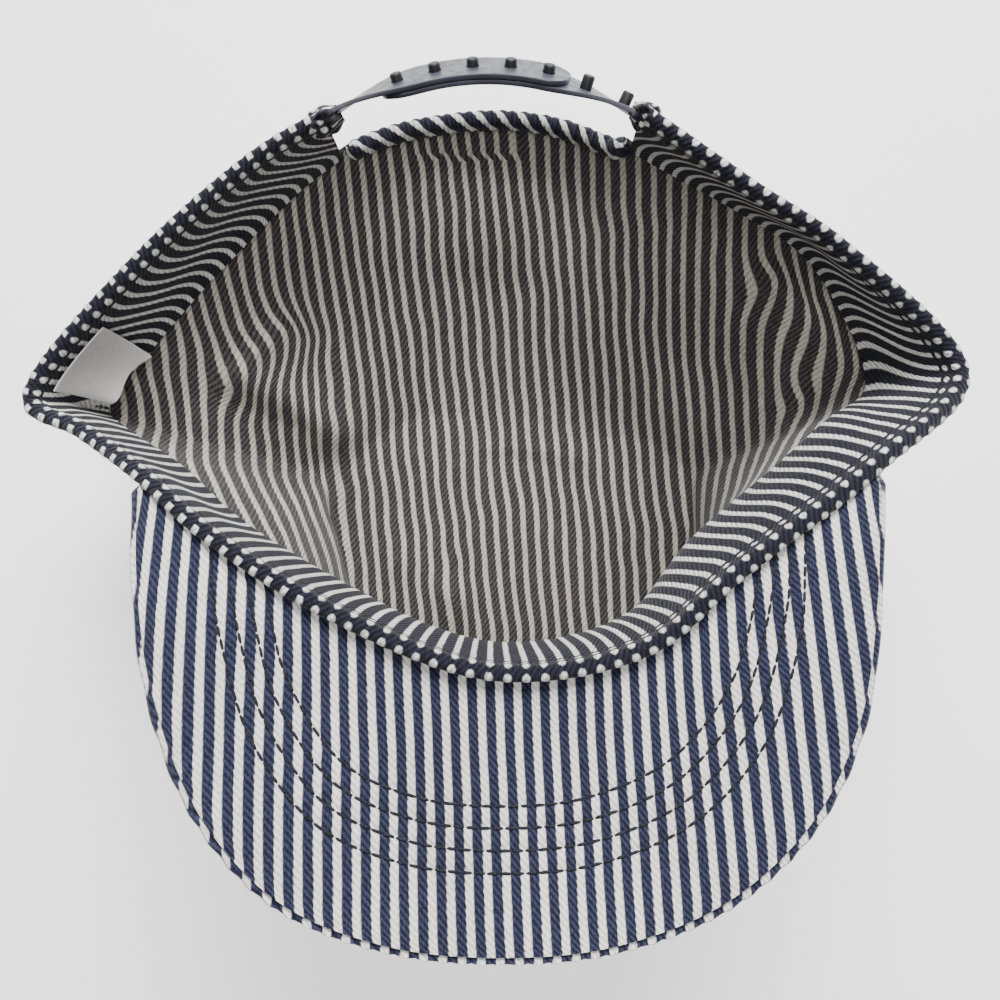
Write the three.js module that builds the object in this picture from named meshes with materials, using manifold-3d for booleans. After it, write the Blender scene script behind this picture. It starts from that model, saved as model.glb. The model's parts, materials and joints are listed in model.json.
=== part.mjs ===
// A railroad engineer cap of striped denim, lying upside down on its crown with the head opening up.
// Millimetres, +Z up, visor towards -Y, snap strap towards +Y, origin under the middle of the whole cap.
import * as THREE from "three";
import { mergeVertices } from "three/addons/utils/BufferGeometryUtils.js";
import Module from "manifold-3d";

const wasm = await Module();
wasm.setup();

// Driving sizes of the cloth
const clothThickness = 1.1;
const layerGap = 0.3;
const bandWidth = 29;
const rimHalfLength = 125;
const rimReach = 100;
const rimHeight = 95;
const floorCentreAcross = 4;
const floorHalfLength = 58;
const floorFrontReach = 60;
const floorBackReach = 27;
const innerFloorShare = 0.6;

// Driving sizes of the visor
const visorHalfWidth = 92;
const visorReach = 107;
const visorHeight = 107;
const visorCoverThickness = 1.5;
const visorSeamDepth = 3.8;
const visorClearDepth = 7;
const visorCoverFade = 0.7;

// Driving sizes of the back opening, an arch cut below the strap, and of the binding on its edge
const archBottomHeight = 40.5;
const archSideInset = 2.5;
const archEndCover = 2.5;
const archShoulder = 1.5;
const archRoundness = 0.7;
const archDropShare = 0.45;
const archSteps = 18;
const cutterDepthShare = 0.6;
const cutterBackShare = 1.3;
const cutterTopShare = 1.1;
const bindingThickness = 1;
const bindingWidth = 6;
const bindingSlack = 0.45;

// Driving sizes of the snap strap
const strapWidth = 15;
const strapThickness = 1.2;
const strapBow = 12.5;
const strapLean = THREE.MathUtils.degToRad(38);
const strapEndLean = THREE.MathUtils.degToRad(16);
const strapDrop = 7;
const strapEndGap = 0.35;
const strapLeanBlend = 0.3;
const strapTipShare = 0.35;
const strapTipGrowth = 12;
const strapSamples = 40;
const studCount = 7;
const studPitch = 10.25;
const studRadius = 1.45;
const studHeight = 4;
const studClearance = 0.35;
const studsFree = 2;
const firstStudInset = 4;
const studdedTipLength = 5;
const holedTipShare = 0.45;
const studSides = 12;
const holeCutterOverrun = 1;

// Driving sizes of the care label
const labelThickness = 1;
const labelRimInset = 4;
const labelLength = 19;
const labelLift = 4;

const denim = new THREE.MeshStandardMaterial({ color: 0x6d7088, roughness: 0.92, metalness: 0 });
const denimReverse = new THREE.MeshStandardMaterial({ color: 0x7d7872, roughness: 0.94, metalness: 0 });
const plastic = new THREE.MeshStandardMaterial({ color: 0x3c3d4a, roughness: 0.4, metalness: 0 });
const satin = new THREE.MeshStandardMaterial({ color: 0xc4c2be, roughness: 0.7, metalness: 0 });

// Stations round the rim, from the right strap end by the right corner, the front and the left corner to
// the left strap end, then along the arch of the back opening. across, back and height place the rim, as
// shares of rimHalfLength, rimReach and rimHeight. tuck is the share of the band's width by which its lower
// edge lies inside the rim. The wall and the shelf are two rings between the crown's foot and the band:
// In is the share of the way from the foot to the band's lower edge, and Height the share of its height.
const stationColumns = [
  "across", "back", "height", "tuck", "wallIn", "wallHeight", "shelfIn", "shelfHeight",
];
const stationRows = [
  [0.292, 0.985, 0.827, -0.04, 0.8, 0.6, 0.4, 0.3],
  [0.52, 0.79, 0.827, -0.14, 0.7, 0.54, 0.32, 0.24],
  [0.704, 0.645, 0.808, -0.1, 0.6, 0.5, 0.22, 0.21],
  [0.958, 0.33, 0.768, 0.54, 0.56, 0.5, 0.22, 0.18],
  [0.744, 0.09, 0.93, 0.38, 0.55, 0.52, 0.16, 0.17],
  [0.456, -0.18, 0.975, 0.26, 0.2, 0.66, -0.3, 0.3],
  [0.288, -0.355, 0.975, 0.12, 0.0, 0.8, -0.42, 0.36],
  [-0.008, -0.415, 0.995, 0.02, -0.3, 0.84, -0.75, 0.37],
  [-0.32, -0.275, 0.98, 0.06, 0.05, 0.76, -0.28, 0.33],
  [-0.572, -0.08, 0.958, 0.06, 0.35, 0.6, -0.05, 0.22],
  [-0.712, 0.06, 0.9, 0.06, 0.55, 0.5, 0.12, 0.17],
  [-0.868, 0.18, 0.784, 0.06, 0.55, 0.5, 0.2, 0.18],
  [-0.996, 0.265, 0.705, 0.34, 0.56, 0.5, 0.24, 0.2],
  [-0.776, 0.61, 0.726, 0.26, 0.6, 0.54, 0.24, 0.24],
  [-0.512, 0.895, 0.747, 0.12, 0.72, 0.56, 0.32, 0.25],
  [-0.368, 0.995, 0.768, 0.02, 0.84, 0.6, 0.4, 0.28],
  [-0.3, 1.045, 0.775, 0.0, 0.9, 0.64, 0.44, 0.29],
  [-0.22, 1.075, 0.78, -0.03, 0.92, 0.66, 0.44, 0.29],
  [-0.12, 1.09, 0.785, -0.06, 0.93, 0.66, 0.45, 0.29],
  [-0.03, 1.095, 0.79, -0.08, 0.93, 0.66, 0.45, 0.29],
  [0.06, 1.09, 0.8, -0.08, 0.93, 0.66, 0.45, 0.29],
  [0.15, 1.07, 0.81, -0.07, 0.92, 0.66, 0.44, 0.29],
  [0.23, 1.03, 0.82, -0.05, 0.89, 0.63, 0.42, 0.29],
];
const firstStrapStation = 0;
const lastStrapStation = 15;
const rightVisorStation = 4;
const leftVisorStation = 10;
const labelFirstStation = 12.15;
const labelLastStation = 12.75;
const columnsPerStation = 3;

const stations = stationRows.map((row) =>
  Object.fromEntries(stationColumns.map((column, index) => [column, row[index]])),
);

// Outline of the visor from its left corner round its front to its right corner, at even steps.
const visorColumns = ["across", "reach", "height"];
const visorRows = [
  [-0.984, 0.02, 0.81],
  [-0.942, -0.2, 0.915],
  [-0.874, -0.428, 0.99],
  [-0.755, -0.678, 1.0],
  [-0.559, -0.87, 0.986],
  [-0.293, -0.972, 0.967],
  [0.0, -1.0, 0.963],
  [0.293, -0.974, 0.967],
  [0.576, -0.87, 0.984],
  [0.788, -0.69, 0.998],
  [0.904, -0.48, 0.995],
  [0.968, -0.24, 0.94],
  [1.017, 0.04, 0.84],
];
const visorOutline = visorRows.map((row) =>
  Object.fromEntries(visorColumns.map((column, index) => [column, row[index]])),
);
const visorSag = 0.03;

// Folds pressed up into the crown, each along a line. Ends and width are shares of rimHalfLength and
// rimReach, and the height is a share of rimHeight.
const foldColumns = ["fromAcross", "fromBack", "toAcross", "toBack", "width", "height"];
const foldRows = [
  [-0.6, 0.36, -0.42, 0.22, 0.05, 0.05],
  [-0.46, 0.0, -0.46, -0.28, 0.05, 0.05],
  [-0.09, -0.12, -0.13, -0.4, 0.05, 0.025],
  [0.62, 0.4, 0.7, 0.62, 0.05, 0.05],
  [-0.72, 0.22, -0.56, -0.06, 0.05, 0.04],
];
const foldFade = 0.02;
const foldBlendSpans = 0.6;
const folds = foldRows.map((row) =>
  Object.fromEntries(foldColumns.map((column, index) => [column, row[index]])),
);

const layerPitch = clothThickness + layerGap;
const up = new THREE.Vector3(0, 0, 1);
const floorLevel = clothThickness / 2;

/** Closed smooth ring through one point per station. */
function ringThrough(points) {
  return new THREE.CatmullRomCurve3(points, true, "centripetal");
}

const rimPoints = stations.map(
  (row) => new THREE.Vector3(row.across * rimHalfLength, row.back * rimReach, row.height * rimHeight),
);
const rimRing = ringThrough(rimPoints);

/** Point on a ring at a station number, which may be a fraction. */
function atStation(ring, station) {
  const share = station / stations.length;
  return ring.getPoint(share - Math.floor(share));
}

/** Level direction from the rim into the cap, square to the rim as seen from above. */
function inwardAt(station) {
  const step = 0.25;
  const ahead = atStation(rimRing, station + step);
  const behind = atStation(rimRing, station - step);
  const along = ahead.sub(behind).setZ(0).normalize();
  return new THREE.Vector3(along.y, -along.x, 0);
}

const bandEdgePoints = stations.map((row, index) => {
  const reach = row.tuck * bandWidth;
  const drop = Math.sqrt(1 - row.tuck * row.tuck) * bandWidth;
  return rimPoints[index].clone().addScaledVector(inwardAt(index), reach).addScaledVector(up, -drop);
});

const footPoints = stations.map((row) => {
  const reach = row.back < 0 ? floorFrontReach : floorBackReach;
  const angle = Math.atan2(row.back, row.across);
  const across = floorCentreAcross + Math.cos(angle) * floorHalfLength;
  return new THREE.Vector3(across, Math.sin(angle) * reach, floorLevel);
});

/** Ring between the foot and the band's lower edge, from two columns of the station table. */
function ringBetween(inColumn, heightColumn) {
  return bandEdgePoints.map((edge, index) => {
    const point = footPoints[index].clone().lerp(edge, stations[index][inColumn]);
    return point.setZ(edge.z * stations[index][heightColumn]);
  });
}

const profileRings = [
  rimRing,
  ringThrough(bandEdgePoints),
  ringThrough(ringBetween("wallIn", "wallHeight")),
  ringThrough(ringBetween("shelfIn", "shelfHeight")),
  ringThrough(footPoints),
];

/** Profile of the cloth at a station, from the rim down the wall and in along the floor. */
function profileAt(station) {
  const points = profileRings.map((ring) => atStation(ring, station));
  const foot = points[points.length - 1];
  points.push(foot.clone().multiplyScalar(innerFloorShare).setZ(floorLevel));
  return new THREE.CatmullRomCurve3(points, false, "centripetal");
}
const bandSpans = 1;
const wallSpans = 3;
const profileSpans = profileRings.length;

/** Height that the folds add to the cloth over a point of the plan. */
function foldLift(x, y) {
  return folds.reduce((total, fold) => {
    const from = new THREE.Vector2(fold.fromAcross * rimHalfLength, fold.fromBack * rimReach);
    const to = new THREE.Vector2(fold.toAcross * rimHalfLength, fold.toBack * rimReach);
    const line = to.clone().sub(from);
    const offset = new THREE.Vector2(x, y).sub(from);
    const share = THREE.MathUtils.clamp(offset.dot(line) / line.lengthSq(), 0, 1);
    const away = offset.sub(line.multiplyScalar(share)).length() / (fold.width * rimHalfLength);
    return total + fold.height * rimHeight * Math.max(0, Math.exp(-away * away) - foldFade);
  }, 0);
}

/** Point of the cloth's middle surface at a station and a number of profile spans below the rim. */
function clothPoint(station, span) {
  const point = profileAt(station).getPoint(span / profileSpans);
  const belowBand = THREE.MathUtils.smoothstep(span, bandSpans, bandSpans + foldBlendSpans);
  point.z = Math.max(floorLevel, point.z + foldLift(point.x, point.y) * belowBand);
  return point;
}

/** Unit normal of the cloth's middle surface, towards the inside of the cap. */
function clothNormal(station, span) {
  const step = 0.04;
  const low = Math.max(span - step, 0);
  const alongRim = clothPoint(station + step, span).sub(clothPoint(station - step, span));
  const downWall = clothPoint(station, span + step).sub(clothPoint(station, low));
  return downWall.cross(alongRim).normalize();
}

/** Share of the full depth by which the visor holds the outer layers down at a station. */
function visorCover(station) {
  const half = (leftVisorStation - rightVisorStation) / 2;
  const middle = (leftVisorStation + rightVisorStation) / 2;
  const away = Math.abs(station - middle) - half;
  return 1 - THREE.MathUtils.smoothstep(away, 0, visorCoverFade);
}

/** Spans below the rim of each row of the lattice that all cloth layers share. */
function rowSpans(station) {
  const edgeInset = 1;
  const shown = THREE.MathUtils.lerp(edgeInset, visorClearDepth, visorCover(station));
  const rows = [0, shown, shown + edgeInset, (shown + edgeInset + bandWidth) / 2, bandWidth];
  return rows.map((depth) => depth / bandWidth);
}
const wallRowsPerSpan = 4;
const floorRows = 2;

/** Lattice node of the cloth: its point and its normal. */
function clothNode(station, span) {
  return { point: clothPoint(station, span), normal: clothNormal(station, span) };
}

/** One column of the crown, from its upper edge to the last ring round the middle of the floor. */
function crownColumn(station) {
  const spans = rowSpans(station).slice(2);
  for (let row = 1; row <= wallSpans * wallRowsPerSpan; row += 1) {
    spans.push(bandSpans + row / wallRowsPerSpan);
  }
  for (let row = 1; row <= floorRows; row += 1) {
    spans.push(bandSpans + wallSpans + row / floorRows);
  }
  return spans.map((span) => clothNode(station, span));
}

const columnStations = Array.from(
  { length: stations.length * columnsPerStation },
  (_, index) => index / columnsPerStation,
);
const crownColumns = columnStations.map(crownColumn);
const bandColumns = columnStations
  .filter((station) => station <= lastStrapStation)
  .map((station) => rowSpans(station).map((span) => clothNode(station, span)));
const bandLastRow = 4;

/** Point of a lattice node, moved along its normal. */
function offsetPoint(node, distance) {
  return node.point.clone().addScaledVector(node.normal, distance);
}

/** Collects triangles and turns them into one closed geometry with its faces pointing out. */
class SolidBuilder {
  constructor() {
    this.positions = [];
  }

  triangle(a, b, c) {
    this.positions.push(a.x, a.y, a.z, b.x, b.y, b.z, c.x, c.y, c.z);
  }

  quad(a, b, c, d) {
    this.triangle(a, b, c);
    this.triangle(a, c, d);
  }

  geometry() {
    const flat = this.positions;
    let volume = 0;
    for (let index = 0; index < flat.length; index += 9) {
      const a = new THREE.Vector3().fromArray(flat, index);
      const b = new THREE.Vector3().fromArray(flat, index + 3);
      const c = new THREE.Vector3().fromArray(flat, index + 6);
      volume += a.dot(b.cross(c));
    }
    const positions = flat.slice();
    if (volume < 0) {
      for (let index = 0; index < flat.length; index += 9) {
        for (let axis = 0; axis < 3; axis += 1) {
          positions[index + 3 + axis] = flat[index + 6 + axis];
          positions[index + 6 + axis] = flat[index + 3 + axis];
        }
      }
    }
    const geometry = new THREE.BufferGeometry();
    geometry.setAttribute("position", new THREE.Float32BufferAttribute(positions, 3));
    const merged = mergeVertices(geometry, 1e-4);
    merged.computeVertexNormals();
    return merged;
  }
}

/** Wall between two grids of points, with its open borders closed. */
function wallGeometry(front, rear, closedRing = false, tip = null) {
  const builder = new SolidBuilder();
  const columns = front.length;
  const rows = front[0].length;
  const lastColumn = closedRing ? columns : columns - 1;
  for (let column = 0; column < lastColumn; column += 1) {
    const next = (column + 1) % columns;
    for (let row = 0; row < rows - 1; row += 1) {
      builder.quad(front[column][row], front[next][row], front[next][row + 1], front[column][row + 1]);
      builder.quad(rear[column][row], rear[column][row + 1], rear[next][row + 1], rear[next][row]);
    }
    builder.quad(rear[column][0], rear[next][0], front[next][0], front[column][0]);
    const end = rows - 1;
    if (tip) {
      builder.triangle(front[column][end], front[next][end], tip.front);
      builder.triangle(rear[next][end], rear[column][end], tip.rear);
    } else {
      builder.quad(front[column][end], front[next][end], rear[next][end], rear[column][end]);
    }
  }
  if (!closedRing) {
    for (let row = 0; row < rows - 1; row += 1) {
      const [firstFront, firstRear] = [front[0], rear[0]];
      const [lastFront, lastRear] = [front[columns - 1], rear[columns - 1]];
      builder.quad(firstFront[row], firstFront[row + 1], firstRear[row + 1], firstRear[row]);
      builder.quad(lastRear[row], lastRear[row + 1], lastFront[row + 1], lastFront[row]);
    }
  }
  return builder.geometry();
}

/** Layer of cloth between two offsets from the lattice, over some of its columns and rows. */
function layerGeometry(columns, firstRow, lastRow, innerOffset, outerOffset) {
  const layerAt = (distance) =>
    columns.map((column) => column.slice(firstRow, lastRow + 1).map((node) => offsetPoint(node, distance)));
  return wallGeometry(layerAt(innerOffset), layerAt(outerOffset));
}

/** Shell of the crown before its back opening is cut. */
function wholeCrownGeometry() {
  const half = clothThickness / 2;
  const grid = (distance) => crownColumns.map((column) => column.map((node) => offsetPoint(node, distance)));
  const tip = {
    front: new THREE.Vector3(0, 0, floorLevel + half),
    rear: new THREE.Vector3(0, 0, floorLevel - half),
  };
  return wallGeometry(grid(half), grid(-half), true, tip);
}

/** The band round the inside of the rim. */
function sweatbandGeometry() {
  const middle = layerPitch;
  const half = clothThickness / 2;
  return layerGeometry(bandColumns, 0, bandLastRow, middle + half, middle - half);
}

/** The band round the outside of the rim, held down below the visor. */
function outerBandGeometry() {
  const middle = -layerPitch;
  const half = clothThickness / 2;
  return layerGeometry(bandColumns, 1, bandLastRow, middle + half, middle - half);
}

const visorOutlineCurve = new THREE.CatmullRomCurve3(
  visorOutline.map(
    (row) =>
      new THREE.Vector3(row.across * visorHalfWidth, row.reach * visorReach, row.height * visorHeight),
  ),
  false,
  "centripetal",
);
const visorColumnsAcross = 32;
const visorRowsOut = 7;

/** Station numbers at even lengths along the seam of the visor, from left to right. */
function seamStations(count) {
  const samples = 120;
  const stationAt = (share) => THREE.MathUtils.lerp(leftVisorStation, rightVisorStation, share);
  const lengths = [0];
  let previous = atStation(rimRing, stationAt(0));
  for (let index = 1; index <= samples; index += 1) {
    const next = atStation(rimRing, stationAt(index / samples));
    lengths.push(lengths[index - 1] + next.distanceTo(previous));
    previous = next;
  }
  return Array.from({ length: count + 1 }, (_, step) => {
    const target = (lengths[samples] * step) / count;
    const after = Math.max(1, lengths.findIndex((length) => length >= target - 1e-9));
    const part = (target - lengths[after - 1]) / (lengths[after] - lengths[after - 1]);
    return stationAt((after - 1 + part) / samples);
  });
}

/** Middle surface of the visor, from its seam out to its edge. */
function visorGrid() {
  const seamSpan = visorSeamDepth / bandWidth;
  return seamStations(visorColumnsAcross).map((station, index) => {
    const seam = clothPoint(station, seamSpan).addScaledVector(clothNormal(station, seamSpan), -layerGap * 2);
    const edge = visorOutlineCurve.getPoint(index / visorColumnsAcross);
    return Array.from({ length: visorRowsOut + 1 }, (_, row) => {
      const share = row / visorRowsOut;
      const sag = Math.sin(share * Math.PI) * visorSag * seam.distanceTo(edge);
      return seam.clone().lerp(edge, share).addScaledVector(up, -sag);
    });
  });
}

/** Unit normals of a grid of points, with an upward side. */
function gridNormals(grid) {
  return grid.map((column, index) =>
    column.map((_, row) => {
      const before = grid[Math.max(index - 1, 0)][row];
      const after = grid[Math.min(index + 1, grid.length - 1)][row];
      const inner = column[Math.max(row - 1, 0)];
      const outer = column[Math.min(row + 1, column.length - 1)];
      const normal = after.clone().sub(before).cross(outer.clone().sub(inner)).normalize();
      return normal.z < 0 ? normal.negate() : normal;
    }),
  );
}

const visorMiddle = visorGrid();
const visorNormals = gridNormals(visorMiddle);

/** One cloth cover of the visor, on one side of its middle surface. */
function visorCoverGeometry(side) {
  const layer = (distance) =>
    visorMiddle.map((column, index) =>
      column.map((point, row) => point.clone().addScaledVector(visorNormals[index][row], distance)),
    );
  const near = (side * layerGap) / 2;
  return wallGeometry(layer(near), layer(near + side * visorCoverThickness));
}

/** Converts a closed geometry to a solid that can be joined and cut. */
function toSolid(geometry) {
  const bare = geometry.clone();
  bare.deleteAttribute("normal");
  bare.deleteAttribute("uv");
  const merged = mergeVertices(bare, 1e-4);
  return new wasm.Manifold(
    new wasm.Mesh({
      numProp: 3,
      vertProperties: new Float32Array(merged.attributes.position.array),
      triVerts: new Uint32Array(merged.index.array),
    }),
  );
}

/** Converts a solid back to a geometry. */
function fromSolid(solid) {
  const mesh = solid.getMesh();
  const geometry = new THREE.BufferGeometry();
  geometry.setAttribute("position", new THREE.BufferAttribute(mesh.vertProperties, mesh.numProp));
  geometry.setIndex(new THREE.BufferAttribute(mesh.triVerts, 1));
  geometry.computeVertexNormals();
  return geometry;
}

const leftBandEdge = bandEdgePoints[lastStrapStation];
const rightBandEdge = bandEdgePoints[firstStrapStation];

/** Points of the arch from its left shoulder down and up to its right one, grown outwards by a margin. */
function archLine(margin) {
  const left = leftBandEdge.x + archSideInset - margin;
  const right = rightBandEdge.x - archSideInset + margin;
  return Array.from({ length: archSteps + 1 }, (_, index) => {
    const angle = (Math.PI * index) / archSteps;
    const across = -Math.sign(Math.cos(angle)) * Math.abs(Math.cos(angle)) ** archRoundness;
    const share = (across + 1) / 2;
    const shoulder = THREE.MathUtils.lerp(leftBandEdge.z, rightBandEdge.z, share) + archShoulder;
    const depth = shoulder - archBottomHeight + margin * archDropShare;
    const height = shoulder - depth * Math.sin(angle) ** archRoundness;
    return new THREE.Vector2(THREE.MathUtils.lerp(left, right, share), height);
  });
}

/** Prism through the back wall over an outline in the upright plane. */
function archPrism(outline) {
  const depth = rimReach * cutterDepthShare;
  const prism = new THREE.ExtrudeGeometry(new THREE.Shape(outline), { depth, bevelEnabled: false });
  prism.rotateX(Math.PI / 2);
  prism.translate(0, rimReach * cutterBackShare, 0);
  return toSolid(prism);
}

const above = rimHeight * cutterTopShare;

/** Prism through the back wall over the arch and everything above it, shrunk by a margin. */
function openArchPrism(margin) {
  const line = archLine(-margin);
  const [left, right] = [line[0], line[line.length - 1]];
  return archPrism([new THREE.Vector2(left.x, above), ...line, new THREE.Vector2(right.x, above)]);
}

/** The whole opening: the arch, and above its shoulders the stretch that the strap bridges. */
function openingPrism() {
  const line = archLine(0);
  const leftSide = rimPoints[lastStrapStation].x - archEndCover;
  const rightSide = rimPoints[firstStrapStation].x + archEndCover;
  const [leftShoulder, rightShoulder] = [line[0].y, line[line.length - 1].y];
  return archPrism([
    new THREE.Vector2(leftSide, above),
    new THREE.Vector2(leftSide, leftShoulder),
    ...line,
    new THREE.Vector2(rightSide, rightShoulder),
    new THREE.Vector2(rightSide, above),
  ]);
}

/** The crown: one soft shell from between the two bands down to the floor, open at the back. */
function crownGeometry() {
  return fromSolid(toSolid(wholeCrownGeometry()).subtract(openingPrism()));
}

/** Column a share of the way from one lattice column to the next. */
function columnBetween(here, next, share) {
  return here.map((node, row) => ({
    point: node.point.clone().lerp(next[row].point, share),
    normal: node.normal.clone().lerp(next[row].normal, share).normalize(),
  }));
}

/** The folded strip that binds the arch of the back opening, open towards the crown's edge. */
function archBindingGeometry() {
  const lastRow = 2 + 2 * wallRowsPerSpan;
  const first = lastStrapStation * columnsPerStation;
  const columns = [...crownColumns.slice(first), crownColumns[0]];
  const longerColumns = [crownColumns[first - 1], ...columns, crownColumns[1]];
  const innerFace = clothThickness / 2 + bindingSlack;
  const outerFace = innerFace + bindingThickness;
  const slab = (slabColumns, offset) => toSolid(layerGeometry(slabColumns, 0, lastRow, offset, -offset));
  const belowBands = archPrism([
    new THREE.Vector2(leftBandEdge.x - bindingWidth, 0),
    new THREE.Vector2(rightBandEdge.x + bindingWidth, 0),
    new THREE.Vector2(rightBandEdge.x + bindingWidth, rightBandEdge.z - 2 * layerGap),
    new THREE.Vector2(leftBandEdge.x - bindingWidth, leftBandEdge.z - 2 * layerGap),
  ]);
  const folded = slab(columns, outerFace)
    .intersect(archPrism(archLine(bindingWidth)))
    .intersect(belowBands)
    .subtract(openArchPrism(layerGap + bindingThickness));
  const channel = slab(longerColumns, innerFace).subtract(openArchPrism(layerGap));
  return fromSolid(folded.subtract(channel));
}

const strapSpanDown = strapDrop / bandWidth;
const strapLeftEnd = clothPoint(lastStrapStation, strapSpanDown);
const strapRightEnd = clothPoint(firstStrapStation, strapSpanDown);
const strapChord = strapRightEnd.clone().sub(strapLeftEnd);
const strapAlong = strapChord.clone().normalize();
const strapOut = new THREE.Vector3(-strapAlong.y, strapAlong.x, 0).normalize();

/** Centre line of the strap at a share of its span, from the left end to the right. */
function strapLine(share) {
  const bow = strapBow * (1 - (2 * share - 1) ** 2);
  return strapLeftEnd.clone().addScaledVector(strapChord, share).addScaledVector(strapOut, bow);
}

/** Frame of the strap at a share of its span: along, across its width, and out of its outer face. */
function strapFrame(share) {
  const step = 0.01;
  const along = strapLine(share + step).sub(strapLine(share - step)).normalize();
  const level = new THREE.Vector3(-along.y, along.x, 0).normalize();
  const fromEnd = Math.min(share, 1 - share);
  const lean = THREE.MathUtils.lerp(strapEndLean, strapLean, THREE.MathUtils.smoothstep(fromEnd, 0, strapLeanBlend));
  const outward = level.multiplyScalar(Math.cos(lean)).addScaledVector(up, Math.sin(lean));
  const face = outward.addScaledVector(along, -outward.dot(along)).normalize();
  return { along, face, across: along.clone().cross(face).normalize() };
}

/** A flat strap swept between two shares of the span, at an offset from the centre line. */
function strapBlade(from, to, offset, narrowEnd) {
  const steps = 20;
  const near = [];
  const far = [];
  for (let index = 0; index <= steps; index += 1) {
    const part = index / steps;
    const share = THREE.MathUtils.lerp(from, to, part);
    const { face, across } = strapFrame(share);
    const fromFreeEnd = narrowEnd === "end" ? 1 - part : part;
    const rounding = Math.sqrt(Math.min(1, strapTipShare + fromFreeEnd * strapTipGrowth));
    const half = (strapWidth / 2) * rounding;
    const centre = strapLine(share).addScaledVector(face, offset);
    const edges = (distance) =>
      [-1, 0, 1].map((side) =>
        centre.clone().addScaledVector(face, distance).addScaledVector(across, side * half),
      );
    near.push(edges(0));
    far.push(edges(strapThickness));
  }
  return wallGeometry(far, near);
}

/** Round pin or hole cutter square to the strap at a share of its span. */
function strapPin(share, radius, from, to) {
  const { face } = strapFrame(share);
  const pin = new THREE.CylinderGeometry(radius, radius, to - from, studSides);
  const turn = new THREE.Quaternion().setFromUnitVectors(new THREE.Vector3(0, 1, 0), face);
  const centre = strapLine(share).addScaledVector(face, (from + to) / 2);
  pin.applyMatrix4(new THREE.Matrix4().compose(centre, turn, new THREE.Vector3(1, 1, 1)));
  return toSolid(pin);
}

const strapSpan = Array.from({ length: strapSamples }, (_, index) =>
  strapLine(index / strapSamples).distanceTo(strapLine((index + 1) / strapSamples)),
).reduce((total, length) => total + length, 0);
const endShare = (clothThickness + strapEndGap) / strapSpan;
const studShares = Array.from({ length: studCount }, (_, index) =>
  1 - endShare - (firstStudInset + index * studPitch) / strapSpan,
);
const studdedFreeEnd = studShares[studCount - 1] - studdedTipLength / strapSpan;
const holedFreeEnd = studShares[studsFree - 1] - (studPitch * holedTipShare) / strapSpan;
const studRootDepth = strapThickness / 2;

/** The studded half of the strap, on the inside, fixed at the right. */
function strapStudsGeometry() {
  let solid = toSolid(strapBlade(studdedFreeEnd, 1 - endShare, 0, "start"));
  studShares.forEach((share) => {
    solid = solid.add(strapPin(share, studRadius, studRootDepth, strapThickness + studHeight));
  });
  return fromSolid(solid);
}

/** The holed half of the strap, on the outside, fixed at the left, with the studs through its holes. */
function strapHolesGeometry() {
  const offset = strapThickness + layerGap;
  let solid = toSolid(strapBlade(endShare, holedFreeEnd, offset, "end"));
  const holes = studShares.slice(studsFree);
  holes.forEach((share) => {
    const radius = studRadius + studClearance;
    const [from, to] = [offset - holeCutterOverrun, offset + strapThickness + holeCutterOverrun];
    solid = solid.subtract(strapPin(share, radius, from, to));
  });
  return fromSolid(solid);
}

/** Node a share of the way down a lattice column, between the two rows that hold it. */
function nodeAtSpan(column, spans, span) {
  const after = Math.max(1, spans.findIndex((rowSpan) => rowSpan >= span));
  const share = (span - spans[after - 1]) / (spans[after] - spans[after - 1]);
  const [above, below] = [column[after - 1], column[after]];
  return {
    point: above.point.clone().lerp(below.point, share),
    normal: above.normal.clone().lerp(below.normal, share).normalize(),
  };
}

/** The care label, a bare patch sewn to the sweatband beside the left corner. */
function careLabelGeometry() {
  const near = layerPitch * 1.5 + layerGap / 2;
  const first = Math.floor(labelFirstStation * columnsPerStation);
  const last = Math.ceil(labelLastStation * columnsPerStation);
  const inner = Array.from({ length: last - first - 1 }, (_, index) => bandColumns[first + 1 + index]);
  const firstShare = labelFirstStation * columnsPerStation - first;
  const lastShare = labelLastStation * columnsPerStation - (last - 1);
  const columns = [
    columnBetween(bandColumns[first], bandColumns[first + 1], firstShare),
    ...inner,
    columnBetween(bandColumns[last - 1], bandColumns[last], lastShare),
  ];
  const spans = rowSpans(labelFirstStation);
  const middleSpan = spans[bandLastRow - 1];
  const labelSpans = [labelRimInset / bandWidth, middleSpan, (labelRimInset + labelLength) / bandWidth];
  const nodes = columns.map((column) =>
    labelSpans.map((span) => {
      const node = nodeAtSpan(column, spans, span);
      const share = (span - labelSpans[0]) / (labelSpans[2] - labelSpans[0]);
      node.point.addScaledVector(node.normal, labelLift * share ** 2);
      return node;
    }),
  );
  return layerGeometry(nodes, 0, labelSpans.length - 1, near + labelThickness, near);
}

const cap = new THREE.Group();
const pieces = [
  ["crown", crownGeometry(), denimReverse],
  ["outer_band", outerBandGeometry(), denim],
  ["sweatband", sweatbandGeometry(), denim],
  ["visor_underside", visorCoverGeometry(1), denim],
  ["visor_top", visorCoverGeometry(-1), denim],
  ["arch_binding", archBindingGeometry(), denim],
  ["strap_studs", strapStudsGeometry(), plastic],
  ["strap_holes", strapHolesGeometry(), plastic],
  ["care_label", careLabelGeometry(), satin],
];
pieces.forEach(([name, geometry, material]) => {
  const mesh = new THREE.Mesh(geometry, material);
  mesh.name = name;
  cap.add(mesh);
});

// The origin lies under the middle of the whole cap.
const middle = new THREE.Box3().setFromObject(cap).getCenter(new THREE.Vector3());
cap.position.set(-middle.x, -middle.y, 0);
cap.updateMatrixWorld(true);

export default cap;
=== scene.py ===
"""A railroad engineer cap of striped denim, lying upside down on its crown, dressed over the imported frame."""

import json
import logging
import math
from dataclasses import dataclass
from enum import Enum
from typing import Any, Callable, Iterator

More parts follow.
